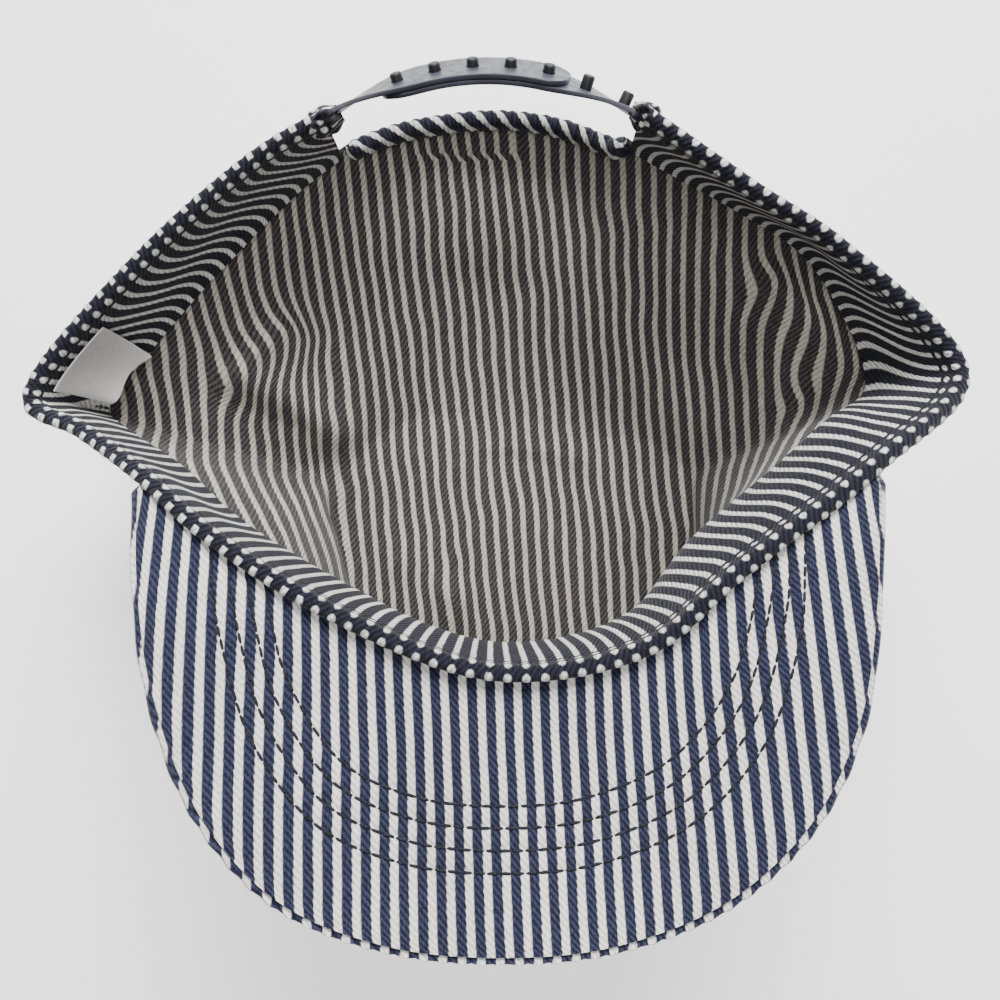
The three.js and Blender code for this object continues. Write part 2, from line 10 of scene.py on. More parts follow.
import bpy
import numpy as np
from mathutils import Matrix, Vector
from mathutils.bvhtree import BVHTree

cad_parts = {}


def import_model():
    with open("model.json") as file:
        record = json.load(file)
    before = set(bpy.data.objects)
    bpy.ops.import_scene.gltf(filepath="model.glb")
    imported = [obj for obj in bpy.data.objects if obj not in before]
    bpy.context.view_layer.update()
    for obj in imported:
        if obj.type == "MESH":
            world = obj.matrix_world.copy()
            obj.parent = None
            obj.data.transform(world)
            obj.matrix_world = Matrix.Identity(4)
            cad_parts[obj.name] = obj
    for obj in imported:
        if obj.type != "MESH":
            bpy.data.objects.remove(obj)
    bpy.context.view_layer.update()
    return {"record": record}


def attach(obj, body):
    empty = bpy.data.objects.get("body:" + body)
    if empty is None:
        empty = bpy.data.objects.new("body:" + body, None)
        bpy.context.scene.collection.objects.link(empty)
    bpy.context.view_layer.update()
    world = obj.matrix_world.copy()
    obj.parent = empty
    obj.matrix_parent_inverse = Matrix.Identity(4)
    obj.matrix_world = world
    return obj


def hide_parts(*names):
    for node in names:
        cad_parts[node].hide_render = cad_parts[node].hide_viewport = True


LOG = logging.getLogger("engineer_cap")
MILLIMETRE = 0.001
THREAD_PROUD = 0.4
UP = np.array([0.0, 0.0, 1.0])

Grid = np.ndarray
Colour = tuple[float, float, float, float]


def grey(level: float) -> Colour:
    """Neutral colour of one linear level."""
    return (level, level, level, 1.0)


def smooth_step(value: Grid, low: float, high: float) -> Grid:
    """Smooth ramp from 0 at low to 1 at high."""
    share = np.clip((value - low) / (high - low), 0.0, 1.0)
    return share * share * (3.0 - 2.0 * share)


def ridge(distance: Grid, width: float) -> Grid:
    """Bell of height 1 at no distance."""
    return np.exp(-((distance / width) ** 2))


def unit(vectors: Grid) -> Grid:
    """Vectors of length 1 along the last axis."""
    return vectors / np.maximum(np.linalg.norm(vectors, axis=-1, keepdims=True), 1e-9)


def crest(place: Grid, pitch: float) -> Grid:
    """Wave between 0 and 1, highest at 0 and at every pitch."""
    return 0.5 + 0.5 * np.cos(2.0 * math.pi * place / pitch)


def near_lines(points: Grid, rows: Grid) -> Iterator[tuple[Grid, Grid, float]]:
    """Places of points beside lines of the plan.

    Args:
        points: The points.
        rows: For each line from x, from y, to x, to y, its width and a value.

    Yields:
        For each line the distance in widths, the share along it and its value.
    """
    for from_x, from_y, to_x, to_y, width, value in rows:
        start = np.array([from_x, from_y])
        line = np.array([to_x, to_y]) - start
        offset = points[..., :2] - start
        share = np.clip(offset @ line / (line @ line), 0.0, 1.0)
        yield np.linalg.norm(offset - share[..., None] * line, axis=-1) / width, share, value


def curve_through(knots: Grid, at: Grid, closed: bool = False) -> Grid:
    """Points on centripetal Catmull-Rom curves.

    Args:
        knots: Points that the curves pass through, as (curves, knots, 3).
        at: Places along each curve, counted in knots, as (curves, places).
        closed: Whether each curve returns to its first knot.

    Returns:
        The points, as (curves, places, 3).
    """
    curves, count, _ = knots.shape
    start = np.floor(at).astype(int)
    if closed:
        picks = [(start + step) % count for step in (-1, 0, 1, 2)]
    else:
        before = 2.0 * knots[:, :1] - knots[:, 1:2]
        after = 2.0 * knots[:, -1:] - knots[:, -2:-1]
        knots = np.concatenate([before, knots, after], axis=1)
        start = np.clip(start, 0, count - 2)
        picks = [start + step for step in range(4)]
    share = (at - start)[..., None]
    row = np.arange(curves)[:, None]
    a, b, c, d = (knots[row, pick] for pick in picks)

    def gap(first: Grid, second: Grid) -> Grid:
        """Square root of the distance between two points."""
        return np.maximum(np.linalg.norm(second - first, axis=-1, keepdims=True), 1e-6) ** 0.5

    near, here, far = gap(a, b), gap(b, c), gap(c, d)
    leave = ((b - a) / near - (c - a) / (near + here) + (c - b) / here) * here
    arrive = ((c - b) / here - (d - b) / (here + far) + (d - c) / far) * here
    square = -3.0 * b + 3.0 * c - 2.0 * leave - arrive
    cube = 2.0 * b - 2.0 * c + leave + arrive
    return b + share * (leave + share * (square + share * cube))


def arc_lengths(points: Grid) -> Grid:
    """Distance along a line of points, from its first one."""
    steps = np.linalg.norm(np.diff(points, axis=0), axis=1)
    return np.concatenate([[0.0], np.cumsum(steps)])


def at_lengths(values: Grid, lengths: Grid, wanted: Grid) -> Grid:
    """Values of a line of points, such as their places, at wanted lengths along it."""
    return np.stack([np.interp(wanted, lengths, values[:, axis]) for axis in range(3)], axis=1)


def evenly(points: Grid, step: float) -> Grid:
    """The same line of points at even steps of about a given length."""
    along = arc_lengths(points)
    count = max(2, int(round(along[-1] / step)) + 1)
    return at_lengths(points, along, np.linspace(0.0, along[-1], count))


class Signal:
    """One output of a shader node, on which arithmetic adds Math nodes."""

    def __init__(self, shader: "Shader", socket: bpy.types.NodeSocket) -> None:
        """Keeps the socket and the shader that it belongs to."""
        self.shader = shader
        self.socket = socket

    def maths(self, operation: str, *others: Any) -> "Signal":
        """Math node on this value and others."""
        return self.shader.node("ShaderNodeMath", {"operation": operation}, dict(enumerate((self, *others))))

    def __add__(self, other: Any) -> "Signal":
        """Sum."""
        return self.maths("ADD", other)

    __radd__ = __add__

    def __sub__(self, other: Any) -> "Signal":
        """Difference."""
        return self.maths("SUBTRACT", other)

    def __rsub__(self, other: float) -> "Signal":
        """Number minus this value."""
        return (self * -1.0) + other

    def __mul__(self, other: Any) -> "Signal":
        """Product."""
        return self.maths("MULTIPLY", other)

    __rmul__ = __mul__

    def __truediv__(self, other: Any) -> "Signal":
        """Quotient."""
        return self.maths("DIVIDE", other)

    def fraction(self) -> "Signal":
        """Part after the decimal point."""
        return self.maths("FRACT")

    def size(self) -> "Signal":
        """Value without its sign."""
        return self.maths("ABSOLUTE")

    def wave(self) -> "Signal":
        """Triangle wave from 0 to 1 with a period of 1."""
        return 1.0 - (self.fraction() * 2.0 - 1.0).size()

    def between(self, low: float, high: float) -> "Signal":
        """Smooth ramp from 0 at low to 1 at high."""
        settings = {"interpolation_type": "SMOOTHSTEP"}
        return self.shader.node("ShaderNodeMapRange", settings, {"Value": self, 1: low, 2: high})


class Shader:
    """Node tree of one material."""

    def __init__(self, name: str) -> None:
        """Starts a material with an empty tree."""
        self.material = bpy.data.materials.new(name)
        self.material.use_nodes = True
        self.tree = self.material.node_tree
        self.tree.nodes.clear()

    def node(self, kind: str, settings: dict[str, Any], inputs: dict[Any, Any], output: Any = 0) -> Signal:
        """Adds a node.

        Args:
            kind: Type of the node.
            settings: Properties of the node, set first.
            inputs: Values or signals of its sockets.
            output: Socket that is returned.

        Returns:
            The output as a signal.
        """
        made = self.tree.nodes.new(kind)
        for name, value in settings.items():
            setattr(made, name, value)
        for name, value in inputs.items():
            if isinstance(value, Signal):
                self.tree.links.new(value.socket, made.inputs[name])
            else:
                made.inputs[name].default_value = value
        return Signal(self, made.outputs[output])

    def coordinates(self, output: str) -> Signal:
        """Coordinates of the surface, by the name of the output."""
        return self.node("ShaderNodeTexCoord", {}, {}, output)

    def axes(self, vector: Signal) -> tuple[Signal, Signal, Signal]:
        """The three parts of a vector."""
        made = self.node("ShaderNodeSeparateXYZ", {}, {0: vector})
        return tuple(Signal(self, made.socket.node.outputs[axis]) for axis in range(3))

    def vector(self, x: Any, y: Any, z: Any = 0.0) -> Signal:
        """Vector from three values."""
        return self.node("ShaderNodeCombineXYZ", {}, {0: x, 1: y, 2: z})

    def noise(self, vector: Signal, scale: float, detail: float = 2.0) -> Signal:
        """Soft noise between about 0.3 and 0.7."""
        return self.node("ShaderNodeTexNoise", {}, {"Vector": vector, "Scale": scale, "Detail": detail})

    def mix(self, share: Any, low: Any, high: Any, blend: str = "MIX") -> Signal:
        """Colour between two others, or another blend of the two."""
        settings = {"data_type": "RGBA", "clamp_factor": True, "blend_type": blend}
        return self.node("ShaderNodeMix", settings, {0: share, 6: low, 7: high}, 2)

    def finish(
        self, colour: Any, roughness: Any, height: Signal, depth: float, **fixed: float
    ) -> bpy.types.Material:
        """Joins a colour, a roughness and a bump to the surface shader.

        Args:
            colour: Base colour.
            roughness: Roughness.
            height: Height of the relief, in millimetres.
            depth: Strength of the relief.
            fixed: Plain values of other sockets of the surface shader.

        Returns:
            The finished material.
        """
        if "Emission_Strength" in fixed:
            fixed["Emission_Color"] = grey(1.0)
        bump_inputs = {"Height": height, "Distance": MILLIMETRE, "Strength": depth}
        bump = self.node("ShaderNodeBump", {}, bump_inputs)
        inputs = {"Base Color": colour, "Roughness": roughness, "Normal": bump}
        inputs.update({name.replace("_", " "): value for name, value in fixed.items()})
        surface = self.node("ShaderNodeBsdfPrincipled", {}, inputs)
        out = self.tree.nodes.new("ShaderNodeOutputMaterial")
        self.tree.links.new(surface.socket, out.inputs["Surface"])
        return self.material


@dataclass(frozen=True)
class Grain:
    """Noise in a cloth, by how often it changes in a millimetre across and along the stripes."""

    across: float
    along: float
    detail: float
    seed: float = 0.0


@dataclass(frozen=True)
class StripedDenim:
    """Striped twill, in the millimetres of the piece's cloth map: u across the stripes and v along them."""

    name: str
    ground_low: Colour
    ground_high: Colour
    stripe_low: Colour
    stripe_high: Colour
    stripe_share: float = 0.45
    stripe_pitch: float = 4.4
    twill_across: float = 0.75
    twill_along: float = 0.66
    twill_repeat: float = 1.2
    warp_pitch: float = 0.55
    tooth: float = 0.14
    edge_blur: float = 0.09
    relief: float = 0.9
    roughness: float = 0.93
    wobble: float = 0.8
    bead_rows: int = 0
    bead_pitch: float = 2.9
    bead_radius: float = 1.15
    bead_blur: float = 0.25
    one_row_from: float = 400.0
    drift: Grain = Grain(0.05, 0.05, 1.0)
    slub: Grain = Grain(3.2, 0.35, 2.0)
    fleck: Grain = Grain(1.7, 1.7, 3.0)
    cloud: Grain = Grain(0.035, 0.035, 3.0, 3.0)
    swing: Grain = Grain(0.022, 0.03, 2.0, 7.0)

    def material(self) -> bpy.types.Material:
        """Builds the material."""
        shader = Shader(self.name)
        across, along, _ = shader.axes(shader.coordinates("UV"))

        def patches(grain: Grain) -> Signal:
            """Noise of one grain."""
            place = shader.vector(across * grain.across, along * grain.along, grain.seed)
            return shader.noise(place, 1.0, grain.detail)

        drift, swing = patches(self.drift) - 0.5, patches(self.swing) - 0.5
        slub, fleck, cloud = (patches(grain) for grain in (self.slub, self.fleck, self.cloud))
        twill = (across * self.twill_across + along * self.twill_along + drift * 0.9) / self.twill_repeat
        rib = twill.wave()
        warp = (across / self.warp_pitch).wave()
        place = (across + swing * self.wobble) / self.stripe_pitch + (rib - 0.5) * self.tooth * 0.5
        middle = 1.0 - self.stripe_share
        stripe = (place + (slub - 0.5) * 0.1).wave().between(middle - self.edge_blur, middle + self.edge_blur)
        if self.bead_rows:
            stripe = self.beaded(stripe, across, along, slub)
        lift = (rib * 0.55 + slub * 0.9 + fleck * 0.75 - 0.62).between(0.1, 1.0)
        ground = shader.mix(lift, self.ground_low, self.ground_high)
        gleam = (rib * 0.45 + slub * 0.7 + fleck * 0.3).between(0.25, 0.95)
        white = shader.mix(gleam, self.stripe_low, self.stripe_high)
        shade = shader.mix(cloud.between(0.3, 0.7), grey(0.86), grey(1.0))
        tinted = shader.mix(1.0, shader.mix(stripe, ground, white), shade, "MULTIPLY")
        height = rib * 0.22 + warp * 0.08 + slub * 0.18 + fleck * 0.2 + stripe * 0.1
        return shader.finish(
            tinted, self.roughness, height, self.relief, Specular_IOR_Level=0.18, Sheen_Weight=0.12
        )

    def beaded(self, stripe: Signal, across: Signal, along: Signal, slub: Signal) -> Signal:
        """The stripes with rows of round beads in their place near the rim, where along is 0."""
        beside = ((across / self.stripe_pitch).fraction() - 0.5) * self.stripe_pitch
        down = ((along / self.bead_pitch + 0.5).fraction() - 0.5) * self.bead_pitch
        distance = (beside * beside * 0.8 + down * down).maths("SQRT") + (slub - 0.5) * 0.5
        bead = 1.0 - distance.between(self.bead_radius - self.bead_blur, self.bead_radius + self.bead_blur)
        rows = self.bead_rows - across.between(self.one_row_from, self.one_row_from + 1.0)
        near = (rows * self.bead_pitch - 1.0 - along.size()).between(-0.15, 0.15)
        return near * bead + (1.0 - near) * stripe


@dataclass(frozen=True)
class Thread:
    """Sewing thread with a fine twist."""

    name: str
    low: Colour
    high: Colour

    def material(self) -> bpy.types.Material:
        """Builds the material."""
        shader = Shader(self.name)
        place = shader.coordinates("Object")
        speck = shader.noise(place, 1800.0, 2.0)
        colour = shader.mix(speck.between(0.35, 0.65), self.low, self.high)
        return shader.finish(colour, 0.8, speck, 0.4, Specular_IOR_Level=0.25)


@dataclass(frozen=True)
class SnapPlastic:
    """Soft moulded plastic with a satin gloss, scuffed a little."""

    name: str
    low: Colour
    high: Colour
    roughness: float = 0.38

    def material(self) -> bpy.types.Material:
        """Builds the material."""
        shader = Shader(self.name)
        place = shader.coordinates("Object")
        haze = shader.noise(place, 60.0, 4.0)
        grain = shader.noise(place, 2500.0, 2.0)
        scuff = shader.noise(place, 420.0, 5.0)
        colour = shader.mix(haze.between(0.35, 0.68), self.low, self.high)
        rough = scuff.between(0.35, 0.75) * 0.22 + self.roughness
        return shader.finish(colour, rough, grain * 0.12 + scuff * 0.1, 0.35, Specular_IOR_Level=0.5)


@dataclass(frozen=True)
class LabelSatin:
    """Woven satin tape with fine cross threads."""

    name: str
    low: Colour
    high: Colour

    def material(self) -> bpy.types.Material:
        """Builds the material."""
        shader = Shader(self.name)
        across, along, _ = shader.axes(shader.coordinates("UV"))
        weave = (along / 0.42).wave()
        threads = shader.noise(shader.vector(across * 0.5, along * 5.0), 1.0, 2.0)
        colour = shader.mix((weave * 0.5 + threads).between(0.3, 1.1), self.low, self.high)
        return shader.finish(colour, 0.55, weave * 0.08 + threads * 0.15, 0.6, Sheen_Weight=0.1)


@dataclass(frozen=True)
class Paper:
    """Plain pale studio floor."""

    name: str
    colour: Colour
    glow: float = 0.75

    def material(self) -> bpy.types.Material:
        """Builds the material."""
        shader = Shader(self.name)
        grain = shader.noise(shader.coordinates("Object"), 90.0, 2.0)
        return shader.finish(
            self.colour, 0.9, grain * 0.02, 0.05, Specular_IOR_Level=0.1, Emission_Strength=self.glow,
        )


class CoverSide(Enum):
    """Cover of the visor, by the way in which it faces from the middle."""

    UNDERSIDE = 1.0
    TOP = -1.0


class Finishes:
    """The finishes of the cap, each made once."""

    def __init__(self) -> None:
        """Builds the materials."""
        self.face = StripedDenim(
            "denim_face",
            ground_low=(0.004, 0.005, 0.015, 1.0),
            ground_high=(0.042, 0.046, 0.092, 1.0),
            stripe_low=(0.4, 0.39, 0.37, 1.0),
            stripe_high=(0.86, 0.85, 0.8, 1.0),
            stripe_share=0.43,
            tooth=0.07,
            relief=0.7,
        ).material()
        self.reverse = StripedDenim(
            "denim_reverse",
            ground_low=(0.016, 0.014, 0.015, 1.0),
            ground_high=(0.11, 0.098, 0.095, 1.0),
            stripe_low=(0.22, 0.205, 0.175, 1.0),
            stripe_high=(0.6, 0.565, 0.49, 1.0),
            stripe_share=0.37,
            wobble=4.0,
            tooth=0.1,
            twill_across=-0.75,
        ).material()
        # Denim of the bands round the rim: the same striped cloth as the face, with real beads near the edge,
        # but its navy is painted much darker and less blue than the face denim's, as painted shade on the
        # bands' shaded walls.
        self.rim = StripedDenim(
            "denim_rim_painted_shade",
            ground_low=(0.002, 0.0025, 0.006, 1.0),
            ground_high=(0.018, 0.019, 0.034, 1.0),
            stripe_low=(0.36, 0.36, 0.35, 1.0),
            stripe_high=(0.84, 0.83, 0.8, 1.0),
            stripe_share=0.33,
            tooth=0.08,
            bead_radius=0.8,
            bead_rows=2,
            one_row_from=300.0,
        ).material()
        self.bias = StripedDenim(
            "denim_bias",
            ground_low=(0.002, 0.0025, 0.006, 1.0),
            ground_high=(0.022, 0.024, 0.046, 1.0),
            stripe_low=(0.3, 0.3, 0.29, 1.0),
            stripe_high=(0.72, 0.71, 0.68, 1.0),
            stripe_share=0.31,
            tooth=0.08,
        ).material()
        self.thread = Thread(
            "dark_thread", low=(0.006, 0.006, 0.01, 1.0), high=(0.025, 0.026, 0.035, 1.0)
        ).material()
        self.plastic = SnapPlastic(
            "snap_plastic", low=(0.02, 0.021, 0.031, 1.0), high=(0.043, 0.045, 0.066, 1.0)
        ).material()
        self.studs = SnapPlastic(
            "stud_plastic", low=(0.004, 0.004, 0.006, 1.0), high=(0.01, 0.01, 0.014, 1.0), roughness=0.45
        ).material()
        self.satin = LabelSatin(
            "label_satin", low=(0.36, 0.35, 0.34, 1.0), high=(0.66, 0.65, 0.63, 1.0)
        ).material()


STATION_ROWS = np.array([
    # across, back, height, tuck, wall in, wall height, shelf in, shelf height
    [0.292, 0.985, 0.827, -0.04, 0.8, 0.6, 0.4, 0.3],
    [0.52, 0.79, 0.827, -0.14, 0.7, 0.54, 0.32, 0.24],
    [0.704, 0.645, 0.808, -0.1, 0.6, 0.5, 0.22, 0.21],
    [0.958, 0.33, 0.768, 0.54, 0.56, 0.5, 0.22, 0.18],
    [0.744, 0.09, 0.93, 0.38, 0.55, 0.52, 0.16, 0.17],
    [0.456, -0.18, 0.975, 0.26, 0.2, 0.66, -0.3, 0.3],
    [0.288, -0.355, 0.975, 0.12, 0.0, 0.8, -0.42, 0.36],
    [-0.008, -0.415, 0.995, 0.02, -0.3, 0.84, -0.75, 0.37],
    [-0.32, -0.275, 0.98, 0.06, 0.05, 0.76, -0.28, 0.33],
    [-0.572, -0.08, 0.958, 0.06, 0.35, 0.6, -0.05, 0.22],
    [-0.712, 0.06, 0.9, 0.06, 0.55, 0.5, 0.12, 0.17],
    [-0.868, 0.18, 0.784, 0.06, 0.55, 0.5, 0.2, 0.18],
    [-0.996, 0.265, 0.705, 0.34, 0.56, 0.5, 0.24, 0.2],
    [-0.776, 0.61, 0.726, 0.26, 0.6, 0.54, 0.24, 0.24],
    [-0.512, 0.895, 0.747, 0.12, 0.72, 0.56, 0.32, 0.25],
    [-0.368, 0.995, 0.768, 0.02, 0.84, 0.6, 0.4, 0.28],
    [-0.3, 1.045, 0.775, 0.0, 0.9, 0.64, 0.44, 0.29],
    [-0.22, 1.075, 0.78, -0.03, 0.92, 0.66, 0.44, 0.29],
    [-0.12, 1.09, 0.785, -0.06, 0.93, 0.66, 0.45, 0.29],
    [-0.03, 1.095, 0.79, -0.08, 0.93, 0.66, 0.45, 0.29],
    [0.06, 1.09, 0.8, -0.08, 0.93, 0.66, 0.45, 0.29],
    [0.15, 1.07, 0.81, -0.07, 0.92, 0.66, 0.44, 0.29],
    [0.23, 1.03, 0.82, -0.05, 0.89, 0.63, 0.42, 0.29],
])

FOLD_ROWS = np.array([
    # from across, from back, to across, to back, width, height
    [-0.6, 0.36, -0.42, 0.22, 0.05, 0.05],
    [-0.46, 0.0, -0.46, -0.28, 0.05, 0.05],
    [-0.09, -0.12, -0.13, -0.4, 0.05, 0.025],
    [0.62, 0.4, 0.7, 0.62, 0.05, 0.05],
    [-0.72, 0.22, -0.56, -0.06, 0.05, 0.04],
])

CREASE_ROWS = np.array([
    # from x, from y, to x, to y, width, height, in millimetres
    [-62.0, 56.0, -86.0, 30.0, 2.6, 4.0],
    [-88.0, 34.0, -56.0, 20.0, 3.0, -3.0],
    [74.0, 70.0, 98.0, 44.0, 3.0, 4.5],
    [112.0, 38.0, 86.0, 26.0, 3.0, -4.0],
    [88.0, 30.0, 82.0, -8.0, 3.0, 3.0],
    [-56.0, 46.0, -55.0, -42.0, 4.0, 2.6],
    [-14.0, -12.0, -14.0, -48.0, 2.6, 1.6],
    [-36.0, 0.0, -34.0, -30.0, 4.0, 1.4],
    [-30.0, 70.0, 22.0, 66.0, 9.0, -1.5],
])

SLACK_ROWS = np.array([
    # across, back, in millimetres for one radian of a wave, start, in radians
    [13.0, 31.0, 0.0],
    [-23.0, 17.0, 1.3],
])

TUG_ROWS = np.array([
    # from x, from y, to x, to y, width, shift, in millimetres
    [-64.0, 50.0, -80.0, 34.0, 6.5, 4.0],
    [80.0, 62.0, 98.0, 42.0, 7.0, 4.5],
    [108.0, 38.0, 90.0, 28.0, 5.0, 2.5],
    [-14.0, -20.0, -14.0, -48.0, 4.0, 1.0],
    [-55.0, 44.0, -55.0, -40.0, 5.0, -1.6],
])

DRIFT_ROWS = np.array([
    # station, drift, in millimetres
    [0.0, -8.0],
    [1.0, -12.0],
    [2.6, -12.0],
    [3.4, 0.0],
    [4.2, 7.0],
    [6.0, 6.0],
    [7.0, 0.0],
    [8.0, -5.0],
    [10.4, -5.0],
    [11.8, 0.0],
    [12.6, 13.0],
    [15.0, 15.0],
])

BINDING_ROWS = np.array([
    # across the edge, thickness, in millimetres
    [3.4, 0.9],
    [3.2, 1.5],
    [2.8, 1.9],
    [2.0, 2.1],
    [1.2, 2.1],
    [0.4, 2.0],
    [-0.4, 1.7],
    [-1.0, 1.2],
    [-1.4, 0.6],
    [-1.6, 0.0],
])

VISOR_ROWS = np.array([
    # across, reach, height
    [-0.984, 0.02, 0.81],
    [-0.942, -0.2, 0.915],
    [-0.874, -0.428, 0.99],
    [-0.755, -0.678, 1.0],
    [-0.559, -0.87, 0.986],
    [-0.293, -0.972, 0.967],
    [0.0, -1.0, 0.963],
    [0.293, -0.974, 0.967],
    [0.576, -0.87, 0.984],
    [0.788, -0.69, 0.998],
    [0.904, -0.48, 0.995],
    [0.968, -0.24, 0.94],
    [1.017, 0.04, 0.84],
])


@dataclass
class CapForm:
    """Surface of the cap's cloth, in millimetres from the cap's own origin.

    A place on it is a station round the rim and a span down from the rim: the band is span 0 to 1, and the
    wall runs on to the foot at span 4 and the floor beyond.
    """

    cloth: float = 1.1
    layer_gap: float = 0.3
    band_width: float = 29.0
    rim_half_length: float = 125.0
    rim_reach: float = 100.0
    rim_height: float = 95.0
    floor_centre_across: float = 4.0
    floor_half_length: float = 58.0
    floor_front_reach: float = 60.0
    floor_back_reach: float = 27.0
    inner_floor_share: float = 0.6
    fold_fade: float = 0.02
    fold_start: tuple[float, float] = (1.0, 1.6)
    crease_end: float = 0.3
    slack: float = 0.7
    first_strap: float = 0.0
    last_strap: float = 15.0
    right_visor: float = 4.0
    left_visor: float = 10.0
    cover_fade: float = 0.7

    def __post_init__(self) -> None:
        """Sets the rings that every profile passes through."""
        self.count = len(STATION_ROWS)
        self.floor_level = self.cloth / 2.0
        self.layer_pitch = self.cloth + self.layer_gap
        scale = np.array([self.rim_half_length, self.rim_reach, self.rim_height])
        self.rim = STATION_ROWS[:, :3] * scale
        tuck = STATION_ROWS[:, 3:4]
        inward = self.inward(np.arange(self.count, dtype=float))
        drop = np.sqrt(1.0 - tuck**2) * self.band_width
        self.band_edge = self.rim + inward * tuck * self.band_width - UP * drop
        reach = np.where(STATION_ROWS[:, 1] < 0, self.floor_front_reach, self.floor_back_reach)
        angle = np.arctan2(STATION_ROWS[:, 1], STATION_ROWS[:, 0])
        floor = np.full(self.count, self.floor_level)
        across = self.floor_centre_across + np.cos(angle) * self.floor_half_length
        self.foot = np.stack([across, np.sin(angle) * reach, floor], axis=1)
        wall = self.between(4, 5)
        shelf = self.between(6, 7)
        self.rings = [self.rim, self.band_edge, wall, shelf, self.foot]

    def between(self, in_column: int, height_column: int) -> Grid:
        """Ring between the foot and the band's lower edge, from two columns of the station rows."""
        share = STATION_ROWS[:, in_column : in_column + 1]
        ring = self.foot + (self.band_edge - self.foot) * share
        ring[:, 2] = self.band_edge[:, 2] * STATION_ROWS[:, height_column]
        return ring

    def on_ring(self, ring: Grid, stations: Grid) -> Grid:
        """Points of a ring at stations."""
        return curve_through(ring[None], stations[None], closed=True)[0]

    def inward(self, stations: Grid) -> Grid:
        """Level directions from the rim into the cap."""
        step = 0.25
        along = self.on_ring(self.rim, stations + step) - self.on_ring(self.rim, stations - step)
        along[:, 2] = 0.0
        along = unit(along)
        return np.stack([along[:, 1], -along[:, 0], np.zeros(len(along))], axis=1)

    def fold_lift(self, points: Grid) -> Grid:
        """Height that the folds add over points of the plan."""
        total = np.zeros(points.shape[:-1])
        for away, _, height in near_lines(points, FOLD_ROWS * self.fold_scale()):
            total += height * np.maximum(0.0, ridge(away, 1.0) - self.fold_fade)
        for away, share, height in near_lines(points, CREASE_ROWS):
            ends = smooth_step(np.minimum(share, 1.0 - share), -0.01, self.crease_end)
            total += height * ends * np.exp(-away)
        for across, back, start in SLACK_ROWS:
            total += self.slack * np.sin(points[..., 0] / across + points[..., 1] / back + start)
        return total

    def fold_scale(self) -> Grid:
        """Millimetres of the columns of the fold rows."""
        width, reach = self.rim_half_length, self.rim_reach
        return np.array([width, reach, width, reach, width, self.rim_height])

    def points(self, stations: Grid, spans: Grid) -> Grid:
        """Points of the cloth's middle surface.

        Args:
            stations: Stations, one for each column.
            spans: Spans down from the rim, as (columns, rows).

        Returns:
            The points, as (columns, rows, 3).
        """
        knots = [self.on_ring(ring, stations) for ring in self.rings]
        inner = knots[-1] * self.inner_floor_share
        inner[:, 2] = self.floor_level
        knots.append(inner)
        points = curve_through(np.stack(knots, axis=1), spans)
        lift = self.fold_lift(points) * smooth_step(spans, *self.fold_start)
        points[..., 2] = np.maximum(self.floor_level, points[..., 2] + lift)
        return points

    def normals(self, stations: Grid, spans: Grid) -> Grid:
        """Unit normals of the cloth towards the inside of the cap, for the same places."""
        step = 0.04
        along = self.points(stations + step, spans) - self.points(stations - step, spans)
        low = np.maximum(spans - step, 0.0)
        down = self.points(stations, spans + step) - self.points(stations, low)
        return unit(np.cross(down, along))

    def layer(self, stations: Grid, spans: Grid, offset: Any) -> Grid:
        """Points at a distance from the middle surface, towards the inside."""
        return self.points(stations, spans) + self.normals(stations, spans) * np.asarray(offset)[..., None]

    def visor_cover(self, stations: Grid) -> Grid:
        """Share of the full depth by which the visor holds the outer layers down."""
        half = (self.left_visor - self.right_visor) / 2.0
        middle = (self.left_visor + self.right_visor) / 2.0
        return 1.0 - smooth_step(np.abs(stations - middle) - half, 0.0, self.cover_fade)


